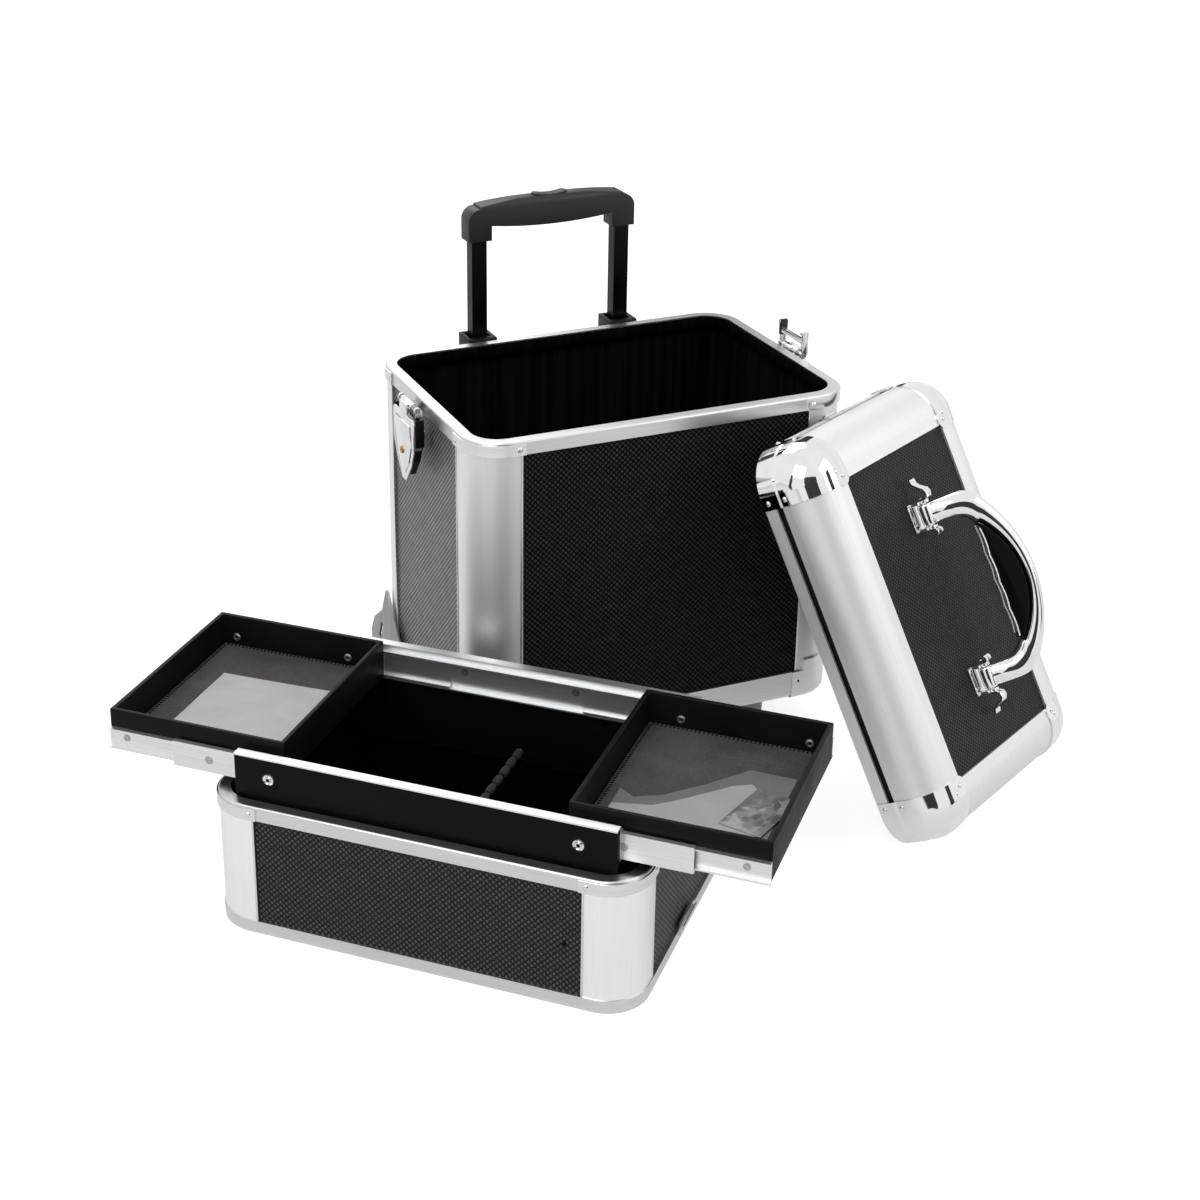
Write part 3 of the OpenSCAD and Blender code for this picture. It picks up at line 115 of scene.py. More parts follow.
def stand(name: str, data: ID) -> Object:
    """Puts a new object into the scene.

    Args:
        name: the object's name.
        data: its mesh, lamp or camera.

    Returns:
        The new object.
    """
    made = bpy.data.objects.new(name, data)
    bpy.context.scene.collection.objects.link(made)
    return made


def settled(part: BMesh, name: str) -> Mesh:
    """Turns a shape into a mesh.

    Args:
        part: the shape, which is used up.
        name: the mesh's name.

    Returns:
        The new mesh.
    """
    mesh = bpy.data.meshes.new(name)
    part.to_mesh(mesh)
    part.free()
    return mesh


@dataclass(frozen=True)
class Place:
    """Where a sub-assembly stands in the row frame, in millimetres and degrees."""

    origin: Spot = (0.0, 0.0, 0.0)
    tilt: float = 0.0
    turn: float = 0.0

    @property
    def matrix(self) -> Matrix:
        """The transform from the sub-assembly's millimetres to the row frame's metres."""
        turn = Matrix.Rotation(math.radians(self.turn), 4, "Z")
        tilt = Matrix.Rotation(math.radians(self.tilt), 4, "Y")
        return Matrix.Translation(Vector(self.origin) * MM) @ turn @ tilt @ Matrix.Scale(MM, 4)


TRUNK = Place((110.0, 86.0, 0.0))
SECTION = Place((-118.5, -156.1, 0.0), 0.0, -43.65)
LID = Place((300.0, -115.4, 159.97), -62.1, 118.0)


class Run(Enum):
    """The way that a rolled or drawn piece's streaks run in its own frame."""

    UPRIGHT = (1.0, 1.0, 0.02)
    LEVEL = (0.02, 0.02, 1.0)
    LONG = (0.02, 1.0, 1.0)


UNIT = (0.0, 1.0)
NOISE_MIDDLE = (0.3, 0.7)
SHEEN = {"Sheen Weight": 0.1, "Sheen Roughness": 0.4}


@dataclass(frozen=True)
class Shading:
    """A node tree with the few kinds of node that the finishes are made of."""

    tree: NodeTree

    def calc(self, operation: str, *terms: Value) -> NodeSocket:
        """Returns the result of one step of arithmetic."""
        return add_node(self.tree, "Math", dict(enumerate(terms)), operation=operation).outputs[0]

    def axes(self, point: NodeSocket) -> List[NodeSocket]:
        """Returns a point's x, y and z."""
        return add_node(self.tree, "SeparateXYZ", {0: point}).outputs[:]

    def along(self, point: NodeSocket, run: Run) -> NodeSocket:
        """Returns a point whose pattern is drawn out along a run."""
        return add_node(self.tree, "VectorMath", {0: point, 1: run.value}, operation="MULTIPLY").outputs[0]

    def noise(self, point: NodeSocket, scale: float, detail: float, **more: float) -> NodeSocket:
        """Returns noise of a given scale and detail."""
        inputs = {"Vector": point, "Scale": scale, "Detail": detail, **more}
        return add_node(self.tree, "TexNoise", inputs).outputs[0]

    def remap(self, value: NodeSocket, span: Flat = UNIT, to: Flat = UNIT, **settings: str) -> NodeSocket:
        """Returns a value taken from one span to another."""
        inputs = {"Value": value, 1: span[0], 2: span[1], 3: to[0], 4: to[1]}
        return add_node(self.tree, "MapRange", inputs, **settings).outputs[0]

    def tint(self, share: NodeSocket, dark: str, light: str) -> NodeSocket:
        """Returns a blend of two sRGB colours."""
        inputs = {0: share, 6: linear(dark), 7: linear(light)}
        return add_node(self.tree, "Mix", inputs, data_type="RGBA").outputs[2]

    def bump(self, height: NodeSocket, strength: float, depth: float) -> NodeSocket:
        """Returns the normal of a relief whose depth is in millimetres."""
        inputs = {"Strength": strength, "Distance": depth * MM, "Height": height}
        return add_node(self.tree, "Bump", inputs).outputs[0]

    def surface(self, tint: NodeSocket, rough: Value, normal: NodeSocket, more: Dict[Key, Value]) -> Node:
        """Returns a principled shader."""
        inputs = {"Base Color": tint, "Roughness": rough, "Normal": normal, **more}
        return add_node(self.tree, "BsdfPrincipled", inputs)

    def seen(self, ray: Node) -> NodeSocket:
        """Returns one for rays that see the surroundings: camera, glossy and transmission rays."""
        camera, glossy, through = (ray.outputs[f"Is {kind} Ray"] for kind in ("Camera", "Glossy", "Transmission"))
        return self.calc("MAXIMUM", self.calc("MAXIMUM", camera, glossy), through)


@dataclass(frozen=True)
class Finish:
    """A surface finish that builds one node material."""

    name: str
    place: Place = TRUNK

    def local(self, nodes: Shading) -> NodeSocket:
        """Finds the surface point in the sub-assembly's own frame, in metres.

        Args:
            nodes: the material's nodes.

        Returns:
            The point.
        """
        point = add_node(nodes.tree, "TexCoord").outputs["Object"]
        origin = tuple(c * MM for c in self.place.origin)
        angles = (0.0, math.radians(self.place.tilt), math.radians(self.place.turn))
        turned = {"Vector": point, "Location": origin, "Rotation": angles}
        return add_node(nodes.tree, "Mapping", turned, vector_type="TEXTURE").outputs[0]

    def shade(self, nodes: Shading) -> Node:
        """Builds the shader and returns it."""
        raise NotImplementedError

    def material(self) -> Material:
        """Builds the finish's material, once.

        Returns:
            The material.
        """
        found = bpy.data.materials.get(self.name)
        if found:
            return found
        made = bpy.data.materials.new(self.name)
        made.use_nodes = True
        made.node_tree.nodes.clear()
        shader = self.shade(Shading(made.node_tree))
        add_node(made.node_tree, "OutputMaterial", {"Surface": shader.outputs[0]})
        return made


@dataclass(frozen=True)
class EmbossedLaminate(Finish):
    """Black ABS-faced laminate, roller embossed: rows of small raised lozenges, their tops tinted lighter than the
    ground as a painted highlight.
    """

    pitch: float = 5.2
    flat: bool = False
    ground: str = "020202"
    # tone of the painted highlight on the lozenges' tops
    raised: str = "2e2e30"
    roughness: float = 0.42
    gloss: float = 0.09

    def shade(self, nodes: Shading) -> Node:
        """Builds the lozenge lattice as colour with a painted highlight on the raised tops, roughness and bump.

        Args:
            nodes: the material's nodes.

        Returns:
            The shader.
        """
        point = self.local(nodes)
        x, y, z = nodes.axes(point)
        across, up = (x, y) if self.flat else (nodes.calc("ADD", x, y), z)
        waves = []
        for way in ("ADD", "SUBTRACT"):
            phase = nodes.calc("MULTIPLY", nodes.calc(way, across, up), math.pi / (self.pitch * MM))
            waves.append(nodes.calc("SINE", phase))
        rise = nodes.calc("ABSOLUTE", nodes.calc("MULTIPLY", *waves))
        lozenge = nodes.remap(rise, NOISE_MIDDLE, interpolation_type="SMOOTHSTEP")
        # random spread of the painted highlight's strength and of the gloss
        worn = nodes.remap(nodes.noise(point, 90.0, 3.0), NOISE_MIDDLE, (0.6, 1.0))
        height = nodes.calc("MULTIPLY", lozenge, worn)
        # painted highlight: the raised lozenges are tinted lighter than the ground, though the laminate is one black
        tint = nodes.tint(height, self.ground, self.raised)
        rough = nodes.remap(height, to=(self.roughness + 0.1, self.roughness - 0.04))
        bump = nodes.bump(lozenge, 0.9, 0.5)
        return nodes.surface(tint, rough, bump, {"IOR": 1.53, "Specular IOR Level": self.gloss})


@dataclass(frozen=True)
class RolledMetal(Finish):
    """Metal with streaks along its length: satin anodised aluminium or plated sheet."""

    run: Run = Run.UPRIGHT
    low: str = "c4c6c8"
    high: str = "dcdedf"
    roughness: float = 0.32
    spread: float = 0.015
    streak: float = 0.7
    grooves: float = 0.02

    def shade(self, nodes: Shading) -> Node:
        """Builds streaks drawn out along the run as tint, roughness and a faint bump.

        Args:
            nodes: the material's nodes.

        Returns:
            The shader.
        """
        drawn = nodes.along(self.local(nodes), self.run)
        streaks = nodes.noise(drawn, 0.5 / (self.streak * MM), 3.0, Roughness=0.6)
        share = nodes.remap(streaks, NOISE_MIDDLE)
        tint = nodes.tint(share, self.low, self.high)
        rough = nodes.remap(share, to=(self.roughness + self.spread, self.roughness - self.spread))
        return nodes.surface(tint, rough, nodes.bump(streaks, self.grooves, 0.1), {"Metallic": 1.0})


@dataclass(frozen=True)
class Moulded(Finish):
    """Moulded plastic, rubber or coating with a fine spark-eroded grain, black unless it says so."""

    dark: str = "0a0a0b"
    light: str = "17181a"
    roughness: float = 0.5
    grain: float = 0.9
    relief: float = 0.25
    gloss: float = 0.5

    def shade(self, nodes: Shading) -> Node:
        """Builds the grain as tint, roughness and bump.

        Args:
            nodes: the material's nodes.

        Returns:
            The shader.
        """
        point = self.local(nodes)
        fine = nodes.noise(point, 0.5 / (self.grain * MM), 2.0)
        broad = nodes.noise(point, 24.0, 3.0)
        tint = nodes.tint(broad, self.dark, self.light)
        rough = nodes.remap(broad, NOISE_MIDDLE, (self.roughness - 0.06, self.roughness + 0.08))
        bump = nodes.bump(fine, self.relief, 0.2)
        return nodes.surface(tint, rough, bump, {"IOR": 1.5, "Specular IOR Level": self.gloss})


@dataclass(frozen=True)
class BrushedCloth(Finish):
    """Black brushed lining cloth: upright streaks where the nap was rolled, and almost no gloss."""

    dark: str = "020202"
    light: str = "0b0b0b"
    streak: float = 3.5

    def shade(self, nodes: Shading) -> Node:
        """Builds nap streaks as tint and fibres as bump.

        Args:
            nodes: the material's nodes.

        Returns:
            The shader.
        """
        point = self.local(nodes)
        streaks = nodes.noise(nodes.along(point, Run.UPRIGHT), 0.5 / (self.streak * MM), 4.0)
        tint = nodes.tint(nodes.remap(streaks, (0.42, 0.72)), self.dark, self.light)
        bump = nodes.bump(nodes.noise(point, 600.0, 2.0), 0.4, 0.3)
        return nodes.surface(tint, 0.95, bump, {"Specular IOR Level": 0.03})


@dataclass(frozen=True)
class FeltPad(Finish):
    """Dark grey felted pad: short fibres that scatter light, so it has no gloss and a soft bloom."""

    dark: str = "3b393a"
    light: str = "514e51"

    def shade(self, nodes: Shading) -> Node:
        """Builds fibres and broad worn patches as tint and bump.

        Args:
            nodes: the material's nodes.

        Returns:
            The shader.
        """
        point = self.local(nodes)
        fibres = nodes.noise(point, 700.0, 3.0)
        both = nodes.calc("ADD", fibres, nodes.noise(point, 22.0, 4.0))
        tint = nodes.tint(nodes.remap(both, (0.75, 1.25)), self.dark, self.light)
        return nodes.surface(tint, 0.9, nodes.bump(fibres, 0.5, 0.3), {"Specular IOR Level": 0.2, **SHEEN})


@dataclass(frozen=True)
class SoftVinyl(Finish):
    """Calendered clear vinyl over a dark ground, tinted an even pale grey as a painted reflection of the bright
    surroundings, with broad soft gloss.
    """

    # tones of the painted reflection on the clear vinyl
    dark: str = "8d8d90"
    light: str = "a6a6a9"
    roughness: float = 0.3
    creases: float = 0.15

    def shade(self, nodes: Shading) -> Node:
        """Builds slow waves of the painted reflection's tint, with gloss and creases.

        Args:
            nodes: the material's nodes.

        Returns:
            The shader.
        """
        point = self.local(nodes)
        tint = nodes.tint(nodes.noise(point, 30.0, 3.0), self.dark, self.light)
        folds = nodes.noise(point, 110.0, 4.0, Distortion=0.6)
        rough = nodes.remap(folds, to=(self.roughness - 0.08, self.roughness + 0.12))
        return nodes.surface(tint, rough, nodes.bump(folds, self.creases, 1.0), {"IOR": 1.53})


@dataclass(frozen=True)
class WovenElastic(Finish):
    """Black woven elastic with fine cross ribs, their crests tinted lighter as a painted highlight."""

    dark: str = "0b0b0b"
    light: str = "3c3b3a"
    rib: float = 1.6

    def shade(self, nodes: Shading) -> Node:
        """Builds ribs across the loops as bump and as a tint with a painted highlight on each crest; drawn coarser
        than real so that they show.

        Args:
            nodes: the material's nodes.

        Returns:
            The shader.
        """
        across = nodes.axes(self.local(nodes))[1]
        wave = nodes.calc("SINE", nodes.calc("MULTIPLY", across, 2 * math.pi / (self.rib * MM)))
        # painted highlight: the rib crests are tinted lighter than the black elastic
        tint = nodes.tint(nodes.remap(wave, (-1.0, 1.0)), self.dark, self.light)
        return nodes.surface(tint, 0.7, nodes.bump(wave, 0.5, 0.3), {"Specular IOR Level": 0.3, **SHEEN})


@dataclass(frozen=True)
class PaperSweep(Finish):
    """White paper under the case: it keeps a soft shadow and glows enough to read as white."""

    paper: str = "b4b4b4"
    glow: Flat = (0.45, 0.82)

    def shade(self, nodes: Shading) -> Node:
        """Adds to the paper a glow that reflections see less of than the camera does.

        Args:
            nodes: the material's nodes.

        Returns:
            The shader.
        """
        ray = add_node(nodes.tree, "LightPath")
        direct = nodes.remap(ray.outputs["Is Camera Ray"], to=self.glow)
        strength = nodes.calc("MULTIPLY", nodes.seen(ray), direct)
        paper = add_node(nodes.tree, "BsdfDiffuse", {"Color": linear(self.paper)})
        glow = add_node(nodes.tree, "Emission", {"Strength": strength})
        return add_node(nodes.tree, "AddShader", {0: paper.outputs[0], 1: glow.outputs[0]})


@dataclass(frozen=True)
class Velvet(Finish):
    """Black velvet of a studio flag."""

    def shade(self, nodes: Shading) -> Node:
        """Builds an even black."""
        return add_node(nodes.tree, "BsdfPrincipled", {"Base Color": linear("050505")})


ZINC = (Run.LEVEL, "d6d8d9", "e0e1e2", 0.2)
BRASS = (Run.UPRIGHT, "a07c34", "c9a352", 0.25)


class Finishes:
    """Every finish on the case."""

    trunk_panel = EmbossedLaminate("trunk_embossed_laminate", TRUNK, raised="3a3a3c", gloss=0.07)
    # lit copy of the laminate: the side panels' lozenges are tinted far lighter than the front's, a painted sheen for
    # the glancing reflection on the sides
    trunk_side = EmbossedLaminate("trunk_side_laminate_painted_sheen", TRUNK, raised="9a9a9c", roughness=0.32, gloss=0.7)
    section_panel = EmbossedLaminate("section_embossed_laminate", SECTION, raised="545255", gloss=0.22)
    lid_panel = EmbossedLaminate("lid_embossed_laminate", LID, 4.4, True, raised="363538", gloss=0.2)
    lid_band = Moulded("lid_black_laminate", LID, "040404", "0a0a0a", 0.4, gloss=0.15)
    trunk_post = RolledMetal("trunk_satin_aluminium", TRUNK, Run.UPRIGHT, "e8e9ea", "f0f0f1", 0.5)
    section_post = RolledMetal("section_satin_aluminium", SECTION, Run.UPRIGHT, "f0f1f1", "f6f6f6", 0.4)
    trunk_rim = RolledMetal("trunk_rolled_aluminium", TRUNK, Run.LEVEL, "d0d2d3", "dadbdc", 0.32)
    section_rim = RolledMetal("section_rolled_aluminium", SECTION, Run.LEVEL, "cdcfd0", "d8dadb", 0.3)
    lid_rim = RolledMetal("lid_rolled_aluminium", LID, Run.LEVEL, "e6e7e8", "ecedee", 0.52)
    lid_profile = RolledMetal("lid_satin_aluminium", LID, Run.LONG, "dedfe0", "e4e5e6", 0.52)
    slide = RolledMetal("slide_drawn_aluminium", SECTION, Run.LONG, "dadcdd", "e6e7e8", 0.42)
    trunk_plate = RolledMetal("trunk_zinc_plated_steel", TRUNK, *ZINC)
    section_plate = RolledMetal("section_zinc_plated_steel", SECTION, *ZINC)
    lid_plate = RolledMetal("lid_zinc_plated_steel", LID, *ZINC)
    # partly painted highlight: a rough near-white strip for the chrome insert and the highlights along the grip's
    # finger grooves
    lid_trim = RolledMetal("carry_grip_strip_painted_highlight", LID, Run.LONG, "f0f0f0", "f6f6f6", 0.6)
    screw = RolledMetal("section_dull_steel", SECTION, Run.LEVEL, "a0a2a4", "b4b6b8", 0.4)
    chrome = RolledMetal("bright_chrome_plate", LID, Run.LONG, "e2e3e5", "eaeaeb", 0.06, 0.01, 6.0, 0.0)
    trunk_chrome = RolledMetal("trunk_bright_chrome", TRUNK, Run.UPRIGHT, "dfe0e2", "eaeaeb", 0.14, 0.02, 4.0, 0.0)
    brass = RolledMetal("turned_brass", TRUNK, *BRASS)
    section_brass = RolledMetal("section_turned_brass", SECTION, *BRASS)
    fin = RolledMetal("cast_zinc_bracket", TRUNK, Run.UPRIGHT, "8e9092", "9c9ea0", 0.45, 0.04, 2.0)
    tube = Moulded("black_coated_tube", TRUNK, "020202", "060606", 0.3, relief=0.05, gloss=0.12)
    plastic = Moulded("black_moulded_plastic", TRUNK)
    foot = Moulded("pale_grey_foot_plastic", TRUNK, "b4b6b8", "c4c6c8")
    collar = Moulded("black_collar_plastic", TRUNK, "040404", "0a0a0b", 0.45, gloss=0.2)
    grip = Moulded("black_grip_plastic", LID, "020202", "050505", 0.35, relief=0.05, gloss=0.1)
    rubber = Moulded("black_tyre_rubber", TRUNK, "101011", "1c1c1e", 0.75)
    trunk_cloth = BrushedCloth("trunk_lining_cloth", TRUNK)
    section_cloth = BrushedCloth("section_lining_cloth", SECTION, "000000", "020202")
    lid_cloth = BrushedCloth("lid_lining_cloth", LID)
    leatherette = Moulded("black_leatherette", SECTION, "050404", "0d0c0c", 0.5, 1.4, 0.5, 0.1)
    tray = Moulded("tray_leatherette", SECTION, "050505", "0e0d0e", 0.45, 1.2, 0.4, 0.12)
    elastic = WovenElastic("woven_elastic", SECTION)
    pad = FeltPad("dark_grey_felt", SECTION)
    # painted reflection: the clear vinyl sheets are tinted pale and mid grey for the bright surroundings they reflect
    film = SoftVinyl("clear_vinyl_painted_reflection", SECTION)
    thin_film = SoftVinyl("thin_vinyl_painted_reflection", SECTION, "56555a", "6c6b6f")
    # painted highlights: light patches on the crumpled scrap stand in for the highlights on its folds
    crumpled = SoftVinyl("crumpled_vinyl_painted_highlights", SECTION, "3f3e42", "9c9ca0", 0.16, 0.6)
    thread = Moulded("waxed_thread", SECTION, "040404", "0a0a0a", 0.6, grain=0.4, gloss=0.1)


DRESS: Dict[str, Finish] = {
    name: finish
    for finish, names in (
        (Finishes.trunk_panel, ("trunk_long_panels", "trunk_floor")),
        (Finishes.trunk_side, ("trunk_side_panels",)),
        (Finishes.trunk_post, ("trunk_corner_posts",)),
        (Finishes.trunk_rim, ("trunk_top_rim", "trunk_bottom_rails")),
        (Finishes.trunk_plate, ("trunk_rim_brackets", "trunk_corner_caps", "trunk_rivets", "wheel_axles")),
        (Finishes.trunk_plate, ("trunk_latch_bases", "left_trunk_hook", "right_trunk_hook")),
        (Finishes.trunk_chrome, ("left_trunk_lever", "right_trunk_lever")),
        (Finishes.trunk_cloth, ("trunk_lining",)),
        (Finishes.foot, ("trunk_feet",)),
        (Finishes.fin, ("wheel_brackets",)),
        (Finishes.rubber, ("left_wheel_tyre", "right_wheel_tyre")),
        (Finishes.plastic, ("left_wheel_hub", "right_wheel_hub", "handle_grip", "release_button")),
        (Finishes.tube, ("handle_guide_tubes", "handle_middle_tubes", "handle_upper_tubes")),
        (Finishes.collar, ("handle_clamps",)),
        (Finishes.section_panel, ("section_wall_panels", "section_floor")),
        (Finishes.section_post, ("section_corner_posts",)),
        (Finishes.section_rim, ("section_top_rim", "section_bottom_rim")),
        (Finishes.section_plate, ("section_rim_brackets", "section_rivets", "section_keepers", "runner_screws")),
        (Finishes.section_plate, ("section_latch_bases", "left_section_lever", "right_section_lever")),
        (Finishes.section_cloth, ("section_lining",)),
        (Finishes.leatherette, ("runner_boards",)),
        (Finishes.slide, ("slide_rails", "left_slide_inners", "left_slide_middles")),
        (Finishes.slide, ("right_slide_inners", "right_slide_middles")),
        (Finishes.elastic, ("brush_divider",)),
        (Finishes.tray, ("left_tray", "right_tray")),
        (Finishes.lid_panel, ("lid_top_panel",)),
        (Finishes.lid_band, ("lid_side_band",)),
        (Finishes.lid_rim, ("lid_rim",)),
        (Finishes.lid_profile, ("lid_profiles",)),
        (Finishes.lid_cloth, ("lid_lining",)),
        (Finishes.lid_plate, ("lid_keepers",)),
        (Finishes.chrome, ("lid_corner_caps", "carry_saddles", "carry_arch")),
        (Finishes.grip, ("carry_grip",)),
    )
    for name in names
}


@dataclass
class Studio:
    """White sweep, soft lamps and the camera at the photograph's viewing angle, in metres."""

    eye: Spot = (-0.6583, -1.5453, 0.9950)
    look: Spot = (0.3525, 0.8526, -0.3857)
    lens: float = 63.4
    sensor: float = 36.0
    shift: Flat = (0.0720, -0.1047)
    clip: Flat = (0.05, 50.0)
    sky: float = 0.55
    sweep: float = 12.0
    aim: Spot = (0.0, -0.15, 0.2)
    flag_aim: Flat = (0.1, -0.1)
    flag_height: float = 1.5
    lamps: Tuple[Tuple[str, Spot, float, float], ...] = (
        ("key", (-1.5, -1.3, 2.2), 30.0, 1.6),
        ("fill", (1.9, -1.5, 1.6), 16.0, 1.8),
        ("back", (0.3, 1.9, 2.0), 16.0, 1.6),
    )
    flags: Tuple[Tuple[str, Spot, float], ...] = (
        ("lens_flag", (-0.33, -2.10, 0.80), 1.40),
        ("right_flag", (1.75, -1.55, 0.80), 0.50),
        ("left_flag", (-2.10, -0.80, 0.80), 0.35),
        ("rear_flag", (1.20, 2.10, 0.80), 0.50),
    )

    def camera(self) -> None:
        """Sets the camera up as the fitted view."""
        data = bpy.data.cameras.new("photo_camera")
        data.lens, data.sensor_width = self.lens, self.sensor
        data.shift_x, data.shift_y = self.shift
        data.clip_start, data.clip_end = self.clip
        camera = stand("photo_camera", data)
        camera.location = self.eye
        camera.rotation_euler = Vector(self.look).to_track_quat("-Z", "Y").to_euler()
        bpy.context.scene.camera = camera

    def world(self) -> None:
        """Makes a white background for sight and reflections, and a plain sky light."""
        world = bpy.data.worlds.new("white_studio")
        world.use_nodes = True
        tree = world.node_tree
        tree.nodes.clear()
        nodes = Shading(tree)
        strength = nodes.remap(nodes.seen(add_node(tree, "LightPath")), to=(self.sky, 1.0))
        sky = add_node(tree, "Background", {"Color": linear("ffffff"), "Strength": strength})
        add_node(tree, "OutputWorld", {"Surface": sky.outputs[0]})
        bpy.context.scene.world = world

    @staticmethod
    def board(name: str, width: float, height: float, finish: Finish) -> Object:
        """Makes a flat board, lying at the origin.

        Args:
            name: the board's name.
            width: its size along x.
            height: its size along y.
            finish: what it is covered with.

        Returns:
            The new object.
        """
        bm = bmesh.new()
        bmesh.ops.create_grid(bm, x_segments=1, y_segments=1, size=0.5)
        bmesh.ops.scale(bm, vec=(width, height, 1.0), verts=bm.verts[:])
        mesh = settled(bm, name)
        mesh.materials.append(finish.material())
        return stand(name, mesh)

    def floor(self) -> None:
        """Lays the paper sweep under the case."""
        self.board("floor", self.sweep, self.sweep, PaperSweep("white_paper_sweep"))

    def light(self) -> None:
        """Hangs the soft lamps round the case."""
        for name, spot, power, size in self.lamps:
            data = bpy.data.lights.new(name, "AREA")
            data.energy, data.size = power, size
            lamp = stand(name, data)
            lamp.location = spot
            lamp.rotation_euler = (Vector(self.aim) - Vector(spot)).to_track_quat("-Z", "Y").to_euler()

    def hang_flags(self) -> None:
        """Hangs narrow black studio flags that only polished metal shows, as dark streaks."""
        for name, spot, width in self.flags:
            flag = self.board(name, width, self.flag_height, Velvet("black_velvet_flag"))
            flag.location = spot
            level = Vector((*self.flag_aim, spot[2])) - Vector(spot)
            flag.rotation_euler = level.to_track_quat("Z", "Y").to_euler()
            flag.visible_camera = flag.visible_diffuse = flag.visible_shadow = False
            flag.visible_transmission = flag.visible_volume_scatter = False

    def build(self) -> None:
        """Makes the whole studio."""
        self.camera()
        self.world()
        self.floor()
        self.light()
        self.hang_flags()
        bpy.context.scene.view_settings.view_transform = "Standard"


class Bench:
    """Shapes a piece in a sub-assembly's own millimetres and hands it over to the frame."""

    def __init__(self, place: Place) -> None:
        """Starts an empty piece in the given sub-assembly's frame."""
        self.place = place
        self.bm = bmesh.new()

    def take(self, part: BMesh, where: Matrix = HERE) -> None:
        """Moves a finished shape into the piece.

        Args:
            part: the shape, which is used up.
            where: its place in the sub-assembly's frame.
        """
        bmesh.ops.remove_doubles(part, verts=part.verts[:], dist=0.002)
        bmesh.ops.recalc_face_normals(part, faces=part.faces[:])
        bmesh.ops.transform(part, matrix=where, verts=part.verts[:])
        mesh = settled(part, "shape")
        self.bm.from_mesh(mesh)
        bpy.data.meshes.remove(mesh)

    @staticmethod
    def rounded(part: BMesh, edges: List[BMEdge], radius: float, steps: int) -> None:
        """Rounds the given edges of a shape."""
        size = {"offset": radius, "offset_type": "OFFSET", "segments": steps, "clamp_overlap": True}
        bmesh.ops.bevel(part, geom=edges, affect="EDGES", profile=0.5, material=-1, **size)

    @staticmethod
    def box(size: Sequence[float]) -> BMesh:
        """Makes a plain box round the origin.

        Args:
            size: its width, depth and height.

        Returns:
            The box, to be shaped further.
        """
        part = bmesh.new()
        bmesh.ops.create_cube(part, size=1.0)
        bmesh.ops.scale(part, vec=size, verts=part.verts[:])
        return part

    @staticmethod
    def chain(part: BMesh, points: Sequence[Spot]) -> List[BMEdge]:
        """Adds a line through the points and returns its edges."""
        verts = [part.verts.new(p) for p in points]
        return [part.edges.new(pair) for pair in zip(verts, verts[1:])]

    @staticmethod
    def drawn(part: BMesh, edges: List[BMEdge]) -> List[BMVert]:
        """Draws a line out into faces and returns the far side's points."""
        grown = bmesh.ops.extrude_edge_only(part, edges=edges)["geom"]
        return [g for g in grown if isinstance(g, BMVert)]

    def block(self, low: Spot, high: Spot, radius: float) -> None:
        """Adds a block with rounded edges.

        Args:
            low: its lowest corner.
            high: its highest corner.
            radius: radius of the edges.
        """
        part = self.box(Vector(high) - Vector(low))
        self.rounded(part, part.edges[:], radius, 2)
        self.take(part, Matrix.Translation((Vector(low) + Vector(high)) / 2))

    def turned(self, profile: Profile, where: Matrix, steps: int = 20) -> None:
        """Adds a turned shape.

        Args:
            profile: radius and height of each point, from the axis outwards.
            where: the place of the axis, with the height along its z.
            steps: facets round the axis.
        """
        part = bmesh.new()
        edges = self.chain(part, [(r, 0.0, h) for r, h in profile])
        line = part.verts[:] + edges
        bmesh.ops.spin(part, geom=line, axis=UP, angle=2 * math.pi, steps=steps, use_merge=True)
        self.take(part, where)

    def plate(self, outline: Profile, thickness: float, where: Matrix, radius: float) -> None:
        """Adds a plate cut to an outline, with rounded edges.

        Args:
            outline: its points, in order.
            thickness: how far it rises along z.
            where: its place.
            radius: radius of the edges.
        """
        part = bmesh.new()
        face = part.faces.new([part.verts.new((x, y, 0.0)) for x, y in outline])
        grown = bmesh.ops.extrude_face_region(part, geom=[face])["geom"]
        top = [g for g in grown if isinstance(g, BMVert)]
        bmesh.ops.translate(part, vec=UP * thickness, verts=top)
        bmesh.ops.recalc_face_normals(part, faces=part.faces[:])
        self.rounded(part, part.edges[:], radius, 2)
        self.take(part, where)

    def strip(self, path: Sequence[Spot], width: Vector, thickness: float) -> None:
        """Adds a strip that runs along a path.

        Args:
            path: the points along one edge.
            width: the way from that edge to the other.
            thickness: how thick it is.
        """
        part = bmesh.new()
        bmesh.ops.translate(part, vec=width, verts=self.drawn(part, self.chain(part, path)))
        bmesh.ops.recalc_face_normals(part, faces=part.faces[:])
        bmesh.ops.solidify(part, geom=part.faces[:], thickness=thickness)
        self.take(part)

    def walls(self, half: Flat, span: Flat, corner: float, closed: int = 0, edge: float = 0.0) -> None:
        """Adds four walls with rounded corners, as a band or as a box open at one end.

        Args:
            half: half their width and depth.
            span: their lower and upper edge.
            corner: radius of the upright corners.
            closed: -1 where the lower end is closed, 1 for the upper, 0 for none.
            edge: radius along the closed end.
        """
        low, high = span
        part = self.box((2 * half[0], 2 * half[1], high - low))
        gone = [f for f in part.faces if abs(f.normal.z) > 0.9 and f.normal.z * closed < 0.9]
        bmesh.ops.delete(part, geom=gone, context="FACES_ONLY")
        upright = [e for e in part.edges if abs(e.verts[0].co.z - e.verts[1].co.z) > 1.0]
        self.rounded(part, upright, corner, 8)
        if closed:
            end = max(part.faces, key=lambda f: f.calc_center_median().z * closed)
            self.rounded(part, end.edges[:], edge, 5)
        self.take(part, Matrix.Translation((0.0, 0.0, (low + high) / 2)))

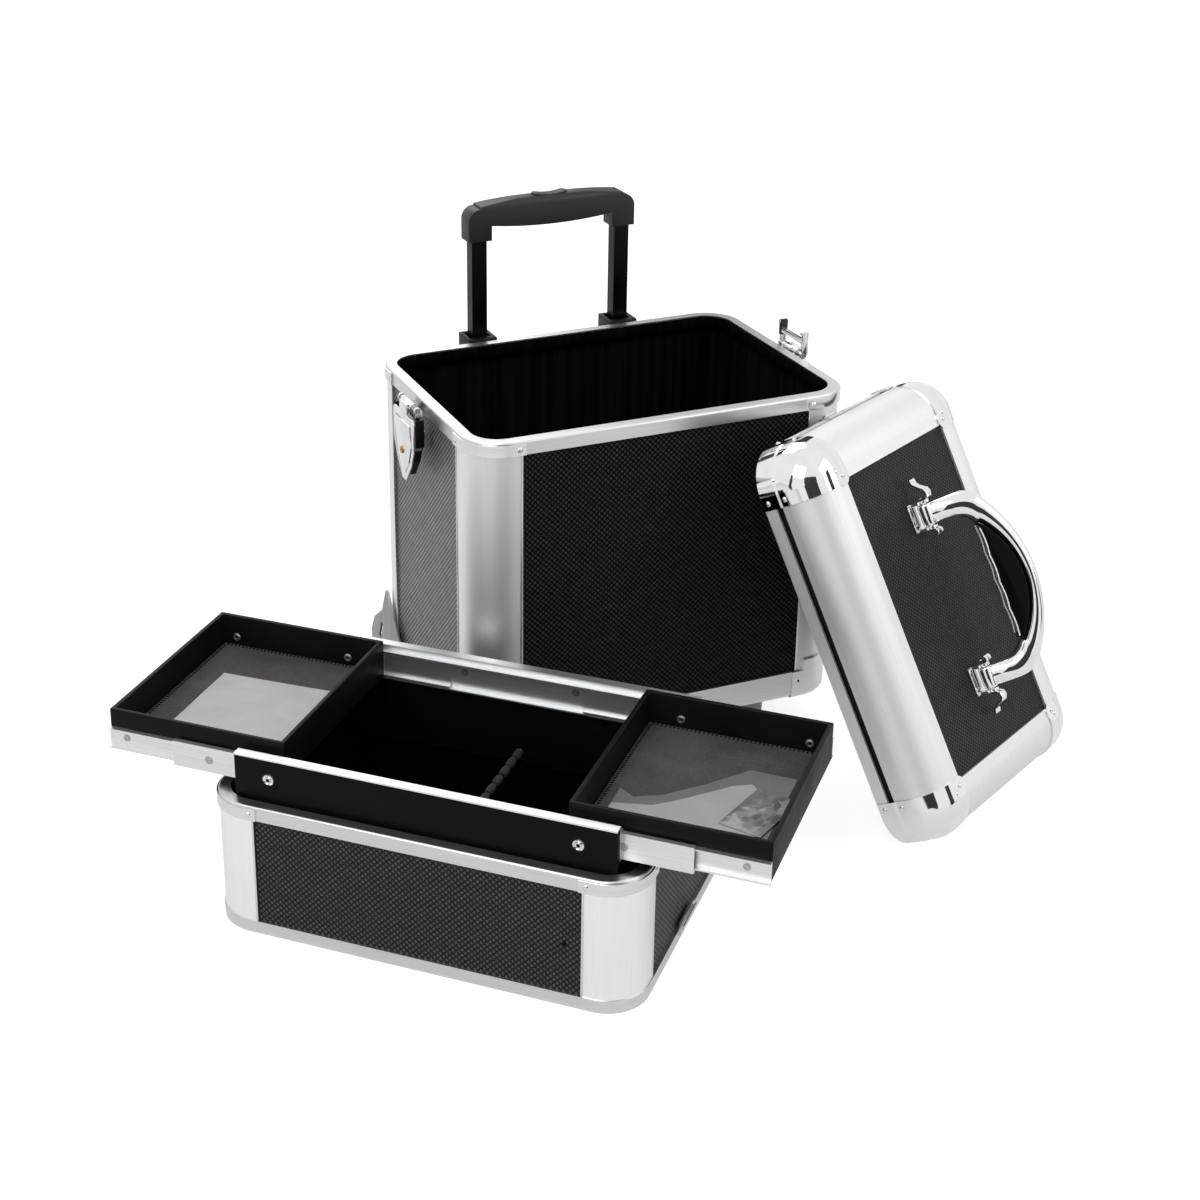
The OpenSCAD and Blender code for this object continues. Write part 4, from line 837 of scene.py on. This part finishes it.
    def ruled(self, edge: Profile, front: float, level: float, wave: Flat = (0.5, 0.05), cuts: int = 7) -> None:
        """Adds a sheet that reaches from a cut edge to a straight front, lifted by slow waves.

        Args:
            edge: the cut edge's points.
            front: the y of the straight side.
            level: its height at the lowest points.
            wave: how far its waves rise, and how many there are in a millimetre.
            cuts: how often each side is divided.
        """
        part = bmesh.new()
        for vert in self.drawn(part, self.chain(part, [(x, y, level) for x, y in edge])):
            vert.co.y = front
        bmesh.ops.subdivide_edges(part, edges=part.edges[:], cuts=cuts, use_grid_fill=True)
        swell, scale = wave
        for vert in part.verts:
            vert.co.z += swell * (0.5 + 0.5 * noise.noise(Vector((vert.co.x, vert.co.y, 0.0)) * scale))
        self.take(part)

    def sweep(self, stations: Sequence[Matrix], steps: int) -> None:
        """Adds a bar whose round section changes along its path.

        Args:
            stations: what takes a unit circle to each section, in order.
            steps: facets round the section.
        """
        part = bmesh.new()
        rings = []
        for station in stations:
            ring = bmesh.ops.create_circle(part, segments=steps, radius=1.0, matrix=station)["verts"]
            rings.append({edge for vert in ring for edge in vert.link_edges})
        for near, far in zip(rings, rings[1:]):
            bmesh.ops.bridge_loops(part, edges=list(near | far))
        for end in (rings[0], rings[-1]):
            bmesh.ops.edgeloop_fill(part, edges=list(end))
        self.take(part)

    def piece(self, name: str, finish: Finish, body: str, slot: str, angle: float = 35.0) -> Object:
        """Places the piece in the row frame and hands it over, with hand_over's arguments."""
        bmesh.ops.transform(self.bm, matrix=self.place.matrix, verts=self.bm.verts[:])
        return hand_over(settled(self.bm, name), name, finish, body, angle)


def hand_over(
    mesh: Mesh, name: str, finish: Finish, body: str, angle: float
) -> Object:
    """Makes an object of a finished mesh and ties it to its body.

    Args:
        mesh: the mesh, in the row frame's metres.
        name: the piece's name.
        finish: what it is dressed in.
        body: the body that it moves with.
        angle: the sharpest edge that is still shaded smooth, in degrees.

    Returns:
        The new object.
    """
    mesh.shade_smooth()
    mesh.set_sharp_from_angle(angle=math.radians(angle))
    mesh.materials.clear()
    mesh.materials.append(finish.material())
    made = stand(name, mesh)
    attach(made, body)
    LOG.info("%s built with %d faces, rides on %s", name, len(mesh.polygons), body)
    return made


def facing(spot: Spot, way: Spot) -> Matrix:
    """Returns the place of a round piece at a spot, with its z axis along the given way."""
    turn = UP.rotation_difference(Vector(way).normalized()).to_matrix().to_4x4()
    return Matrix.Translation(spot) @ turn


def arc(centre: Flat, radius: float, start: float, stop: float, steps: int) -> List[Vector]:
    """Returns points along an arc between two angles in degrees, both ends included."""
    turns = [math.radians(start + i * (stop - start) / steps) for i in range(steps + 1)]
    return [Vector(centre) + radius * Vector((math.cos(turn), math.sin(turn))) for turn in turns]


def mirrored(half: Profile) -> List[Flat]:
    """Returns a closed outline from its right half."""
    left = [(-x, y) for x, y in half]
    return [left[0], *half, *reversed(left[1:])]


SCREW = [(0.0, -0.5), (1.1, -0.4), (1.4, 0.9), (2.4, 1.2), (3.4, 0.8), (3.8, 0.0)]
CUP = [(0.0, 0.4), (1.2, 0.4), (1.5, 1.5), (2.2, 1.6), (2.6, 1.0), (3.6, 1.7), (4.6, 1.2), (5.0, 0.0)]
LOCK = [(0.0, 0.3), (0.9, 0.3), (1.0, 1.3), (2.6, 1.5), (3.3, 1.2), (3.5, 0.0)]
DOME = [(0.0, 1.3), (1.2, 1.1), (2.1, 0.6), (2.5, 0.0)]
FLUSH = [(0.0, 0.02), (1.0, 0.02), (1.2, 0.3), (2.6, 0.4), (3.4, 0.3), (3.6, 0.0)]
PIT = [(0.0, 0.9), (1.3, 1.0), (1.75, 1.62), (1.9, 0.5)]
DOT = [(0.0, 0.1), (1.4, 0.15), (1.7, 0.0)]
LOOP = [(0.0, -6.4), (2.6, -6.4), (3.3, -4.6), (3.6, -1.5), (3.6, 1.5), (3.3, 4.6), (2.6, 6.4), (0.0, 6.4)]
EYE_HALF = [(2.7, -9.2), (5.0, -9.6), (6.1, -8.8), (6.3, -7.8)]
EYE = [*EYE_HALF, *((r, -h) for r, h in reversed(EYE_HALF)), EYE_HALF[0]]
SHIELD = mirrored([(19.0, -14.0), (21.0, -34.0), (15.0, -50.0), (4.0, -63.0)])
INSERT = mirrored([(25.0, -30.0), (25.0, -37.0), (18.0, -52.0), (5.0, -69.0)])


@dataclass
class RoundedNodes:
    """CAD pieces whose sharp edges are pressed, cast or moulded round in the real case."""

    crease: float = 32.0
    steps: int = 3
    radii: Tuple[Tuple[str, float, str, str], ...] = (
        ("carry_grip", 3.0, "carry_handle", "plastic"),
        ("carry_saddles", 0.35, "lid", "chrome"),
        ("handle_grip", 2.4, "pull_handle_top", "plastic"),
        ("release_button", 0.8, "release_button", "plastic"),
        ("left_trunk_lever", 0.7, "left_trunk_latch", "chrome"),
        ("right_trunk_lever", 0.7, "right_trunk_latch", "chrome"),
        ("left_trunk_hook", 0.5, "left_draw_hook", "steel"),
        ("right_trunk_hook", 0.5, "right_draw_hook", "steel"),
        ("left_tray", 0.9, "left_tray", "board"),
        ("right_tray", 0.9, "right_tray", "board"),
        ("runner_boards", 1.0, "tray_section", "board"),
        ("wheel_brackets", 0.6, "trunk", "steel"),
        ("handle_clamps", 1.0, "trunk", "plastic"),
    )

    def build(self, nodes: Dict[str, Object]) -> None:
        """Copies each node, merges its triangles and rounds its edges.

        Args:
            nodes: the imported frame's mesh objects by name.
        """
        for name, radius, body, slot in self.radii:
            bm = bmesh.new()
            bm.from_mesh(nodes[name].data)
            bmesh.ops.remove_doubles(bm, verts=bm.verts[:], dist=0.002 * MM)
            bmesh.ops.dissolve_limit(bm, angle_limit=math.radians(0.6), verts=bm.verts[:], edges=bm.edges[:])
            joined = [e for e in bm.edges if len(e.link_faces) == 2]
            sharp = [e for e in joined if e.calc_face_angle(0.0) > math.radians(self.crease)]
            Bench.rounded(bm, sharp, radius * MM, self.steps)
            made = name + "_rounded"
            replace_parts(hand_over(settled(bm, made), made, DRESS[name], body, 40.0), name)


@dataclass
class CasePart:
    """What the trunk, the tray section and the lid share: one footprint and a cloth lining, in millimetres."""

    place: Place = TRUNK
    body: str = "trunk"
    cloth: Finish = Finishes.trunk_cloth
    half_w: float = 180.0
    half_d: float = 124.0
    lined: Flat = (50.2, 329.3)
    closed: int = -1
    cloth_gap: float = 5.9
    cloth_corner: float = 28.0
    cloth_edge: float = 3.0
    cloth_t: float = 1.0

    def bench(self) -> Bench:
        """Returns an empty bench in this part's frame."""
        return Bench(self.place)

    def inside(self, gap: float) -> Flat:
        """Returns half the width and depth that a gap along the walls leaves."""
        return (self.half_w - gap, self.half_d - gap)

    def sewn(self, bench: Bench, name: str, thickness: float) -> Object:
        """Makes a piece of this part's cloth.

        Args:
            bench: where it was shaped.
            name: the piece's name.
            thickness: how thick the cloth is.

        Returns:
            The new object.
        """
        made = bench.piece(name, self.cloth, self.body, "cloth")
        made.modifiers.new("cloth", "SOLIDIFY").thickness = thickness * MM
        return made

    def wall_cloth(self, name: str) -> Object:
        """Stretches the cloth over the walls and the closed end.

        Args:
            name: the piece's name.

        Returns:
            The new object.
        """
        bench = self.bench()
        bench.walls(self.inside(self.cloth_gap), self.lined, self.cloth_corner, self.closed, self.cloth_edge)
        return self.sewn(bench, name, self.cloth_t)


@dataclass
class OpenBox(CasePart):
    """A box open at its top: lined, with a folded edge under its rim and a bead along each post's flanges."""

    rim: Finish = Finishes.trunk_rim
    hem: Flat = (328.6, 340.8)
    hem_gap: float = 9.8
    hem_corner: float = 24.2
    hem_t: float = 0.6
    posts: Flat = (71.0, 329.0)
    flange: float = 42.5
    bead: Spot = (1.1, 0.7, 0.6)

    def edge_cloth(self, name: str) -> Object:
        """Folds the cloth's edge under the rim.

        Args:
            name: the piece's name.

        Returns:
            The new object.
        """
        bench = self.bench()
        bench.walls(self.inside(self.hem_gap), self.hem, self.hem_corner)
        return self.sewn(bench, name, self.hem_t)

    def beads(self, name: str) -> None:
        """Lays the rolled bead along every post flange's edge.

        Args:
            name: the piece's name.
        """
        wide, thick, radius = self.bead
        low, high = self.posts
        bench = self.bench()
        for side, end in CORNERS:
            x, y = side * (self.half_w - self.flange), end * self.half_d
            bench.block((x - wide, y - thick, low), (x + wide, y + thick, high), radius)
            x, y = side * self.half_w, end * (self.half_d - self.flange)
            bench.block((x - thick, y - wide, low), (x + thick, y + wide, high), radius)
        bench.piece(name, self.rim, self.body, "aluminium")


@dataclass
class Trunk(OpenBox):
    """The wheeled trunk's lining, post beads, locks and hook sleeve."""

    lever_x: float = 197.3
    latch_y: float = 4.0
    lock_z: float = 296.0
    lock_out: float = 1.0
    shield_z: float = 338.0
    shield_t: float = 1.1
    shield_edge: float = 0.5
    insert_z: float = 342.0
    insert_in: float = 9.6
    insert_t: float = 7.6
    insert_edge: float = 0.8
    cheek_y: float = 26.5
    cheek: Spot = (4.0, 0.35, 12.75)
    cheek_z: float = 318.75
    cheek_in: float = 6.0
    cheek_edge: float = 0.3
    sleeve: Tuple[Spot, Spot] = ((188.3, 22.4, 346.0), (196.1, 26.2, 361.0))
    sleeve_edge: float = 0.8

    def lining(self) -> None:
        """Lines the trunk with brushed cloth, glued to its walls and floor."""
        made = self.wall_cloth("trunk_cloth_lining")
        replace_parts(made, "trunk_lining")
        made = self.edge_cloth("trunk_lining_edge")

    def lever_plates(self) -> None:
        """Presses a raised shield and a lock barrel into both levers, with a black insert behind them, partly a real
        backing and partly painted shade: its rim and side cheeks darken the levers' side faces.
        """
        for side, word in SIDES:
            latch = word + "_trunk_latch"
            turn = Matrix(((0, 0, side, 0), (1, 0, 0, 0), (0, 1, 0, 0), (0, 0, 0, 1)))
            bench = self.bench()
            front = Matrix.Translation((side * self.lever_x, self.latch_y, self.shield_z))
            bench.plate(SHIELD, self.shield_t, front @ turn, self.shield_edge)
            bench.piece(word + "_lever_shield", Finishes.trunk_chrome, latch, "chrome")
            bench = self.bench()
            barrel = (side * (self.lever_x + self.lock_out), self.latch_y, self.lock_z)
            bench.turned(LOCK, facing(barrel, (side, 0, 0)))
            bench.piece(word + "_lever_lock", Finishes.brass, latch, "chrome")
            bench = self.bench()
            # partly painted shade: the black insert's rim shows past the shield and its cheeks darken the lever's
            # sides
            behind = Matrix.Translation((side * (self.lever_x - self.insert_in), self.latch_y, self.insert_z))
            bench.plate(INSERT, self.insert_t, behind @ turn, self.insert_edge)
            for end in ENDS:
                x, y = side * (self.lever_x - self.cheek_in), self.latch_y + end * self.cheek_y
                middle = Vector((x, y, self.cheek_z))
                bench.block(middle - Vector(self.cheek), middle + Vector(self.cheek), self.cheek_edge)
            bench.piece(word + "_lever_insert_painted_shade", Finishes.collar, latch, "plastic")

    def hook_sleeve(self) -> None:
        """Slips the black sleeve over the raised hook's rear arm."""
        bench = self.bench()
        bench.block(*self.sleeve, self.sleeve_edge)
        bench.piece("right_hook_sleeve", Finishes.plastic, "right_draw_hook", "plastic")

    def build(self) -> None:
        """Builds every piece on the trunk."""
        self.lining()
        self.beads("trunk_post_beads")
        self.lever_plates()
        self.hook_sleeve()


@dataclass
class TraySection(OpenBox):
    """The tray section's lining, pads, films, stitching, divider and screws."""

    place: Place = SECTION
    body: str = "tray_section"
    cloth: Finish = Finishes.section_cloth
    rim: Finish = Finishes.section_rim
    lined: Flat = (7.2, 105.8)
    hem: Flat = (105.2, 116.8)
    posts: Flat = (12.5, 105.5)
    bead: Spot = (1.0, 0.6, 0.5)
    floor: float = 132.1
    wall_y: float = 90.5
    left: Flat = (-275.4, -126.5)
    right: Flat = (119.0, 268.0)
    pad_t: float = 2.0
    pad_gap: float = 1.0
    pad_edge: float = 0.6
    pad_crown: Tuple[Flat, ...] = ((3.0, 0.0), (8.0, 0.5), (22.0, 0.4))
    vinyl_rise: Flat = (3.1, 3.9)
    stitch: float = 3.6
    seam_in: float = 3.2
    tooth: Spot = (0.85, 1.9, 0.9)
    divider_x: Flat = (2.5, 7.5)
    divider_y: float = 92.4
    divider_z: Flat = (9.0, 81.5)
    divider_edge: float = 2.2
    loop_count: int = 12
    tray_screw_z: float = 141.0
    slide_y: float = 95.9
    slide_screw: float = 0.8
    middle_y: float = 101.3
    middle_z: float = 137.0
    rail_x: Flat = (-50.0, 51.0)
    rail_y: float = 101.8
    rail_z: float = 141.4
    dot: Flat = (122.9, 55.7)
    board_screw: Spot = (128.75, 110.2, 136.5)
    lock: Spot = (197.3, 4.0, 82.8)

    def lining(self) -> None:
        """Lines the section with black cloth."""
        made = self.wall_cloth("section_cloth_lining")
        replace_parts(made, "section_lining")
        made = self.edge_cloth("section_lining_edge")

    def pad(self, word: str, span: Flat) -> None:
        """Lays a crowned felt pad on a tray's floor.

        Args:
            word: the tray's side.
            span: where the tray's floor starts and ends along x.
        """
        part = Bench.box((span[1] - span[0] - self.pad_gap, 2 * self.wall_y - self.pad_gap, self.pad_t))
        top = [f for f in part.faces if f.normal.z > 0.9]
        for inset, rise in self.pad_crown:
            bmesh.ops.inset_region(part, faces=top, thickness=inset, depth=rise)
        Bench.rounded(part, [e for e in part.edges if e.is_convex], self.pad_edge, 2)
        bench = self.bench()
        bench.take(part, Matrix.Translation((sum(span) / 2, 0.0, self.floor + self.pad_t / 2)))
        made = bench.piece(word + "_tray_pad", Finishes.pad, word + "_tray", "cloth")

    def stitches(self, word: str, span: Flat) -> None:
        """Sews a row of short stitches along a pad's border.

        Args:
            word: the tray's side.
            span: where the tray's floor starts and ends along x.
        """
        low = (span[0] + self.seam_in, self.seam_in - self.wall_y)
        high = (span[1] - self.seam_in, self.wall_y - self.seam_in)
        narrow, wide, thick = self.tooth
        bench = self.bench()
        for along in (0, 1):
            for i in range(int((high[along] - low[along]) / self.stitch)):
                for end in (low, high):
                    spot, size = [*end, self.floor + self.pad_t], [wide, wide, thick]
                    spot[along], size[along] = low[along] + (i + 0.5) * self.stitch, narrow
                    part = bmesh.new()
                    bmesh.ops.create_icosphere(part, subdivisions=1, radius=1.0)
                    bmesh.ops.scale(part, vec=size, verts=part.verts[:])
                    bench.take(part, Matrix.Translation(spot))
        bench.piece(word + "_tray_stitches", Finishes.thread, word + "_tray", "cloth")

    def films(self) -> None:
        """Lays the soft vinyl sheets on both pads, their grey tones a painted reflection."""
        first, second = (self.floor + rise for rise in self.vinyl_rise)
        bench = self.bench()
        bench.ruled([(-247, 36), (-128, 40)], -89.0, first, (0.6, 0.035), 24)
        made = bench.piece("left_tray_vinyl", Finishes.film, "left_tray", "plastic")
        bench = self.bench()
        cut = [(131, -20), (145, -29), (166, -18), (193, 10), (219, 42), (257, 41)]
        bench.ruled(cut, -89.0, first)
        made = bench.piece("right_tray_thin_vinyl", Finishes.thin_film, "right_tray", "plastic")
        bench = self.bench()
        cut = [(132, -44), (163, -37), (186, -16), (213, 13), (226, 20), (248, 0)]
        bench.ruled(cut, -88.0, second)
        made = bench.piece("right_tray_vinyl", Finishes.film, "right_tray", "plastic")

    def crumpled_film(self) -> None:
        """Crumples a scrap of vinyl at the right tray's outer wall; its light patches are painted highlights."""
        width, depth, rise, fold_h = 36.0, 62.0, 4.6, 8.0
        part = bmesh.new()
        bmesh.ops.create_grid(part, x_segments=9, y_segments=13, size=0.5)
        bmesh.ops.scale(part, vec=(width, depth, 1.0), verts=part.verts[:])
        for vert in part.verts:
            fold = noise.noise(Vector((vert.co.x * 0.09, vert.co.y * 0.07, 4.2)))
            rim = (1.0 - (2 * vert.co.x / width) ** 4) * (1.0 - (2 * vert.co.y / depth) ** 4)
            vert.co.z = rise + fold_h * max(0.0, rim) * abs(fold)
        bench = self.bench()
        bench.take(part, Matrix.Translation((242.0, -18.0, self.floor)) @ Matrix.Rotation(-0.25, 4, "Z"))
        made = bench.piece("right_tray_crumpled_vinyl", Finishes.crumpled, "right_tray", "plastic", 20.0)

    def divider(self) -> None:
        """Builds the padded brush divider with its row of elastic loops."""
        (front, back), (low, high) = self.divider_x, self.divider_z
        bench = self.bench()
        bench.block((front, -self.divider_y, low), (back, self.divider_y, high), self.divider_edge)
        made = bench.piece("brush_divider_panel", Finishes.section_cloth, "tray_section", "cloth")
        bench = self.bench()
        pitch = 2 * self.divider_y / self.loop_count
        for i in range(self.loop_count):
            middle = ((front + back) / 2, (i + 0.5) * pitch - self.divider_y, high)
            bench.turned(LOOP, facing(middle, (0, 1, 0)), 16)
        loops = bench.piece("brush_loops", Finishes.elastic, "tray_section", "cloth")
        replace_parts(made, "brush_divider")

    @staticmethod
    def pair(bench: Bench, profile: Profile, spot: Spot, way: int, steps: int = 20, size: float = 1.0) -> None:
        """Turns the same small piece into both long walls.

        Args:
            bench: where the piece is shaped.
            profile: the turned shape.
            spot: its place at the back wall.
            way: 1 where it faces outwards, -1 inwards.
            steps: facets round the axis.
            size: its share of the profile's size.
        """
        x, y, z = spot
        for end in ENDS:
            bench.turned(profile, facing((x, end * y, z), (0, end * way, 0)) @ Matrix.Scale(size, 4), steps)

    def tray_screws(self) -> None:
        """Puts screws through the trays' walls and slides."""
        for word, walls, slide, middle in (
            ("left", (-263.4, -154.9), (-264.2, self.slide_y, 138.2), -186.4),
            ("right", (146.4, 254.4), (253.6, self.slide_y, 138.0), 161.0),
        ):
            bench = self.bench()
            for x in walls:
                self.pair(bench, SCREW, (x, self.wall_y, self.tray_screw_z), -1)
            self.pair(bench, SCREW, slide, 1, size=self.slide_screw)
            bench.piece(word + "_tray_screws", Finishes.screw, word + "_tray", "steel")
            bench = self.bench()
            self.pair(bench, FLUSH, (middle, self.middle_y, self.middle_z), 1)
            bench.piece(word + "_slide_screws", Finishes.screw, word + "_slide", "steel")

    def board_screws(self) -> None:
        """Puts screws into the rails, and cup screws into the runner boards, with black discs in their hollows as
        painted shade.
        """
        x, y, z = self.board_screw
        bench = self.bench()
        for rail_x in self.rail_x:
            self.pair(bench, FLUSH, (rail_x, self.rail_y, self.rail_z), -1)
        bench.piece("rail_screws", Finishes.screw, "tray_section", "steel")
        bench = self.bench()
        bench.turned(DOT, facing((self.dot[0], -self.half_d, self.dot[1]), (0, -1, 0)), 12)
        # painted shade: black discs in the cup screws' hollows
        for side in ENDS:
            self.pair(bench, PIT, (side * x, y, z), 1, 14)
        bench.piece("screw_pits_painted_shade", Finishes.thread, "tray_section", "steel")
        bench = self.bench()
        for side in ENDS:
            self.pair(bench, CUP, (side * x, y, z), 1)
        made = bench.piece("runner_cup_screws", Finishes.section_plate, "tray_section", "chrome")
        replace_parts(made, "runner_screws")

    def locks(self) -> None:
        """Sets a lock barrel into both levers."""
        x, y, z = self.lock
        for side, word in SIDES:
            bench = self.bench()
            bench.turned(LOCK, facing((side * x, y, z), (side, 0, 0)))
            bench.piece(word + "_section_lock", Finishes.section_brass, word + "_section_latch", "chrome")

    def build(self) -> None:
        """Builds every piece on the tray section."""
        self.lining()
        self.beads("section_post_beads")
        for word, span in (("left", self.left), ("right", self.right)):
            self.pad(word, span)
            self.stitches(word, span)
        self.films()
        self.crumpled_film()
        self.divider()
        self.tray_screws()
        self.board_screws()
        self.locks()


@dataclass
class Lid(CasePart):
    """The lid's lining, corner rivets, carry arch and the carry grip's trim, partly a painted highlight."""

    place: Place = LID
    body: str = "lid"
    cloth: Finish = Finishes.lid_cloth
    lined: Flat = (14.0, 52.6)
    closed: int = 1
    cloth_gap: float = 10.2
    cloth_corner: float = 24.0
    cloth_edge: float = 16.0
    pivot_z: float = 67.0
    tilt: float = 43.0
    eye_x: float = 76.0
    arch_deep: float = 9.0
    arch_steps: int = 28
    trim_half: float = 50.0
    trim_w: float = 37.1
    trim_edges: Flat = (-10.4, 8.4)
    trim_wide: float = 2.0
    trim_t: float = 1.0
    wave: float = 0.9
    wave_pitch: float = 25.0
    trim_steps: int = 80

    @property
    def lean(self) -> Matrix:
        """The place of the carry handle, with its x along the pivots and its z away from them."""
        turn = Matrix.Rotation(math.radians(self.tilt), 4, "X")
        return Matrix.Translation((0.0, 0.0, self.pivot_z)) @ turn

    def lining(self) -> None:
        """Lines the lid with black cloth."""
        made = self.wall_cloth("lid_cloth_lining")
        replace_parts(made, "lid_lining")

    def rivets(self) -> None:
        """Rivets the chromed corners to the profiles."""
        bench = self.bench()
        for side, end in CORNERS:
            spots = [((side * 141.0, end * 85.0, 60.2), (0, 0, 1))]
            for z, out in ((7.6, 2.0), (25.0, 1.2)):
                spots.append(((side * 140.0, end * (self.half_d + out), z), (0, end, 0)))
                spots.append(((side * (self.half_w + out), end * 84.0, z), (side, 0, 0)))
            for spot, way in spots:
                bench.turned(DOME, facing(spot, way), 14)
        bench.piece("lid_corner_rivets", Finishes.lid_plate, "lid", "steel")

    def arch_sections(self) -> List[Tuple[Vector, Vector, float]]:
        """Works out the arch's sections from eye to eye.

        Returns:
            Each section's outer point, inner point and half depth.
        """
        half = []
        for away, across, deep in ((3.4, 9.3, 5.2), (8.0, 9.9, 6.3), (12.0, 9.9, 7.2), (16.0, 10.0, 8.6)):
            half.append((Vector((-self.eye_x - across, away)), Vector((-self.eye_x + across, away)), deep))
        outer = arc((-60.0, 26.67), 26.0, 180.0, 124.85, 12) + arc((0.0, -59.5), 131.0, 124.85, 90.0, 24)[1:]
        inner = arc((-46.0, 17.5), 20.0, 180.0, 118.0, 12) + arc((0.0, -22.3), 81.3, 132.6, 90.0, 24)[1:]
        half.extend((out, into, self.arch_deep) for out, into in zip(outer, inner))
        flip = Matrix.Diagonal((-1.0, 1.0))
        return half + [(flip @ out, flip @ into, deep) for out, into, deep in reversed(half[:-1])]

    def arch(self) -> None:
        """Bends the chromed arch as one rounded bar from eye to eye, over the grip."""
        stations = []
        for outside, inside, deep in self.arch_sections():
            middle, reach = (outside + inside) / 2, (outside - inside) / 2
            station = Matrix.Identity(4)
            station.col[0] = (reach.x, 0.0, reach.y, 0.0)
            station.col[1] = (0.0, deep, 0.0, 0.0)
            station.col[2] = (*Vector((reach.y, 0.0, -reach.x)).normalized(), 0.0)
            station.col[3] = (middle.x, 0.0, middle.y, 1.0)
            stations.append(self.lean @ station)
        bench = self.bench()
        bench.sweep(stations, self.arch_steps)
        for side in ENDS:
            bench.turned(EYE, self.lean @ facing((side * self.eye_x, 0.0, 0.0), (1, 0, 0)), self.arch_steps)
        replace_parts(bench.piece("carry_chromed_arch", Finishes.chrome, "carry_handle", "chrome", 60.0), "carry_arch")

    def trim(self) -> None:
        """Lays a thin waved bright strip along both edges of the carry grip's underside: partly a chrome insert,
        partly a painted highlight on the finger grooves.
        """
        bench = self.bench()
        across = self.lean.to_3x3() @ Vector((0.0, self.trim_wide, 0.0))
        for edge in self.trim_edges:
            path = []
            for i in range(self.trim_steps + 1):
                run = 2 * self.trim_half * i / self.trim_steps
                w = self.trim_w + self.wave * abs(math.sin(math.pi * run / self.wave_pitch))
                path.append(self.lean @ Vector((run - self.trim_half, edge, w)))
            bench.strip(path, across, self.trim_t)
        bench.piece("carry_grip_trim_and_highlight", Finishes.lid_trim, "carry_handle", "chrome", 60.0)

    def build(self) -> None:
        """Builds every piece on the lid."""
        self.lining()
        self.rivets()
        self.arch()
        self.trim()


def dress(nodes: Dict[str, Object]) -> None:
    """Gives every CAD node its finish.

    Args:
        nodes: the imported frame's mesh objects by name.
    """
    for name, finish in DRESS.items():
        obj = nodes[name]
        obj.data.materials.clear()
        obj.data.materials.append(finish.material())
        LOG.info("%s dressed in %s", name, finish.name)


def main() -> None:
    """Builds the studio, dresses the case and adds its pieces."""
    logging.basicConfig(level=logging.INFO)
    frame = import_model()
    Studio().build()
    dress(frame["nodes"])
    RoundedNodes().build(frame["nodes"])
    Trunk().build()
    TraySection().build()
    Lid().build()


if __name__ == "__main__":
    main()
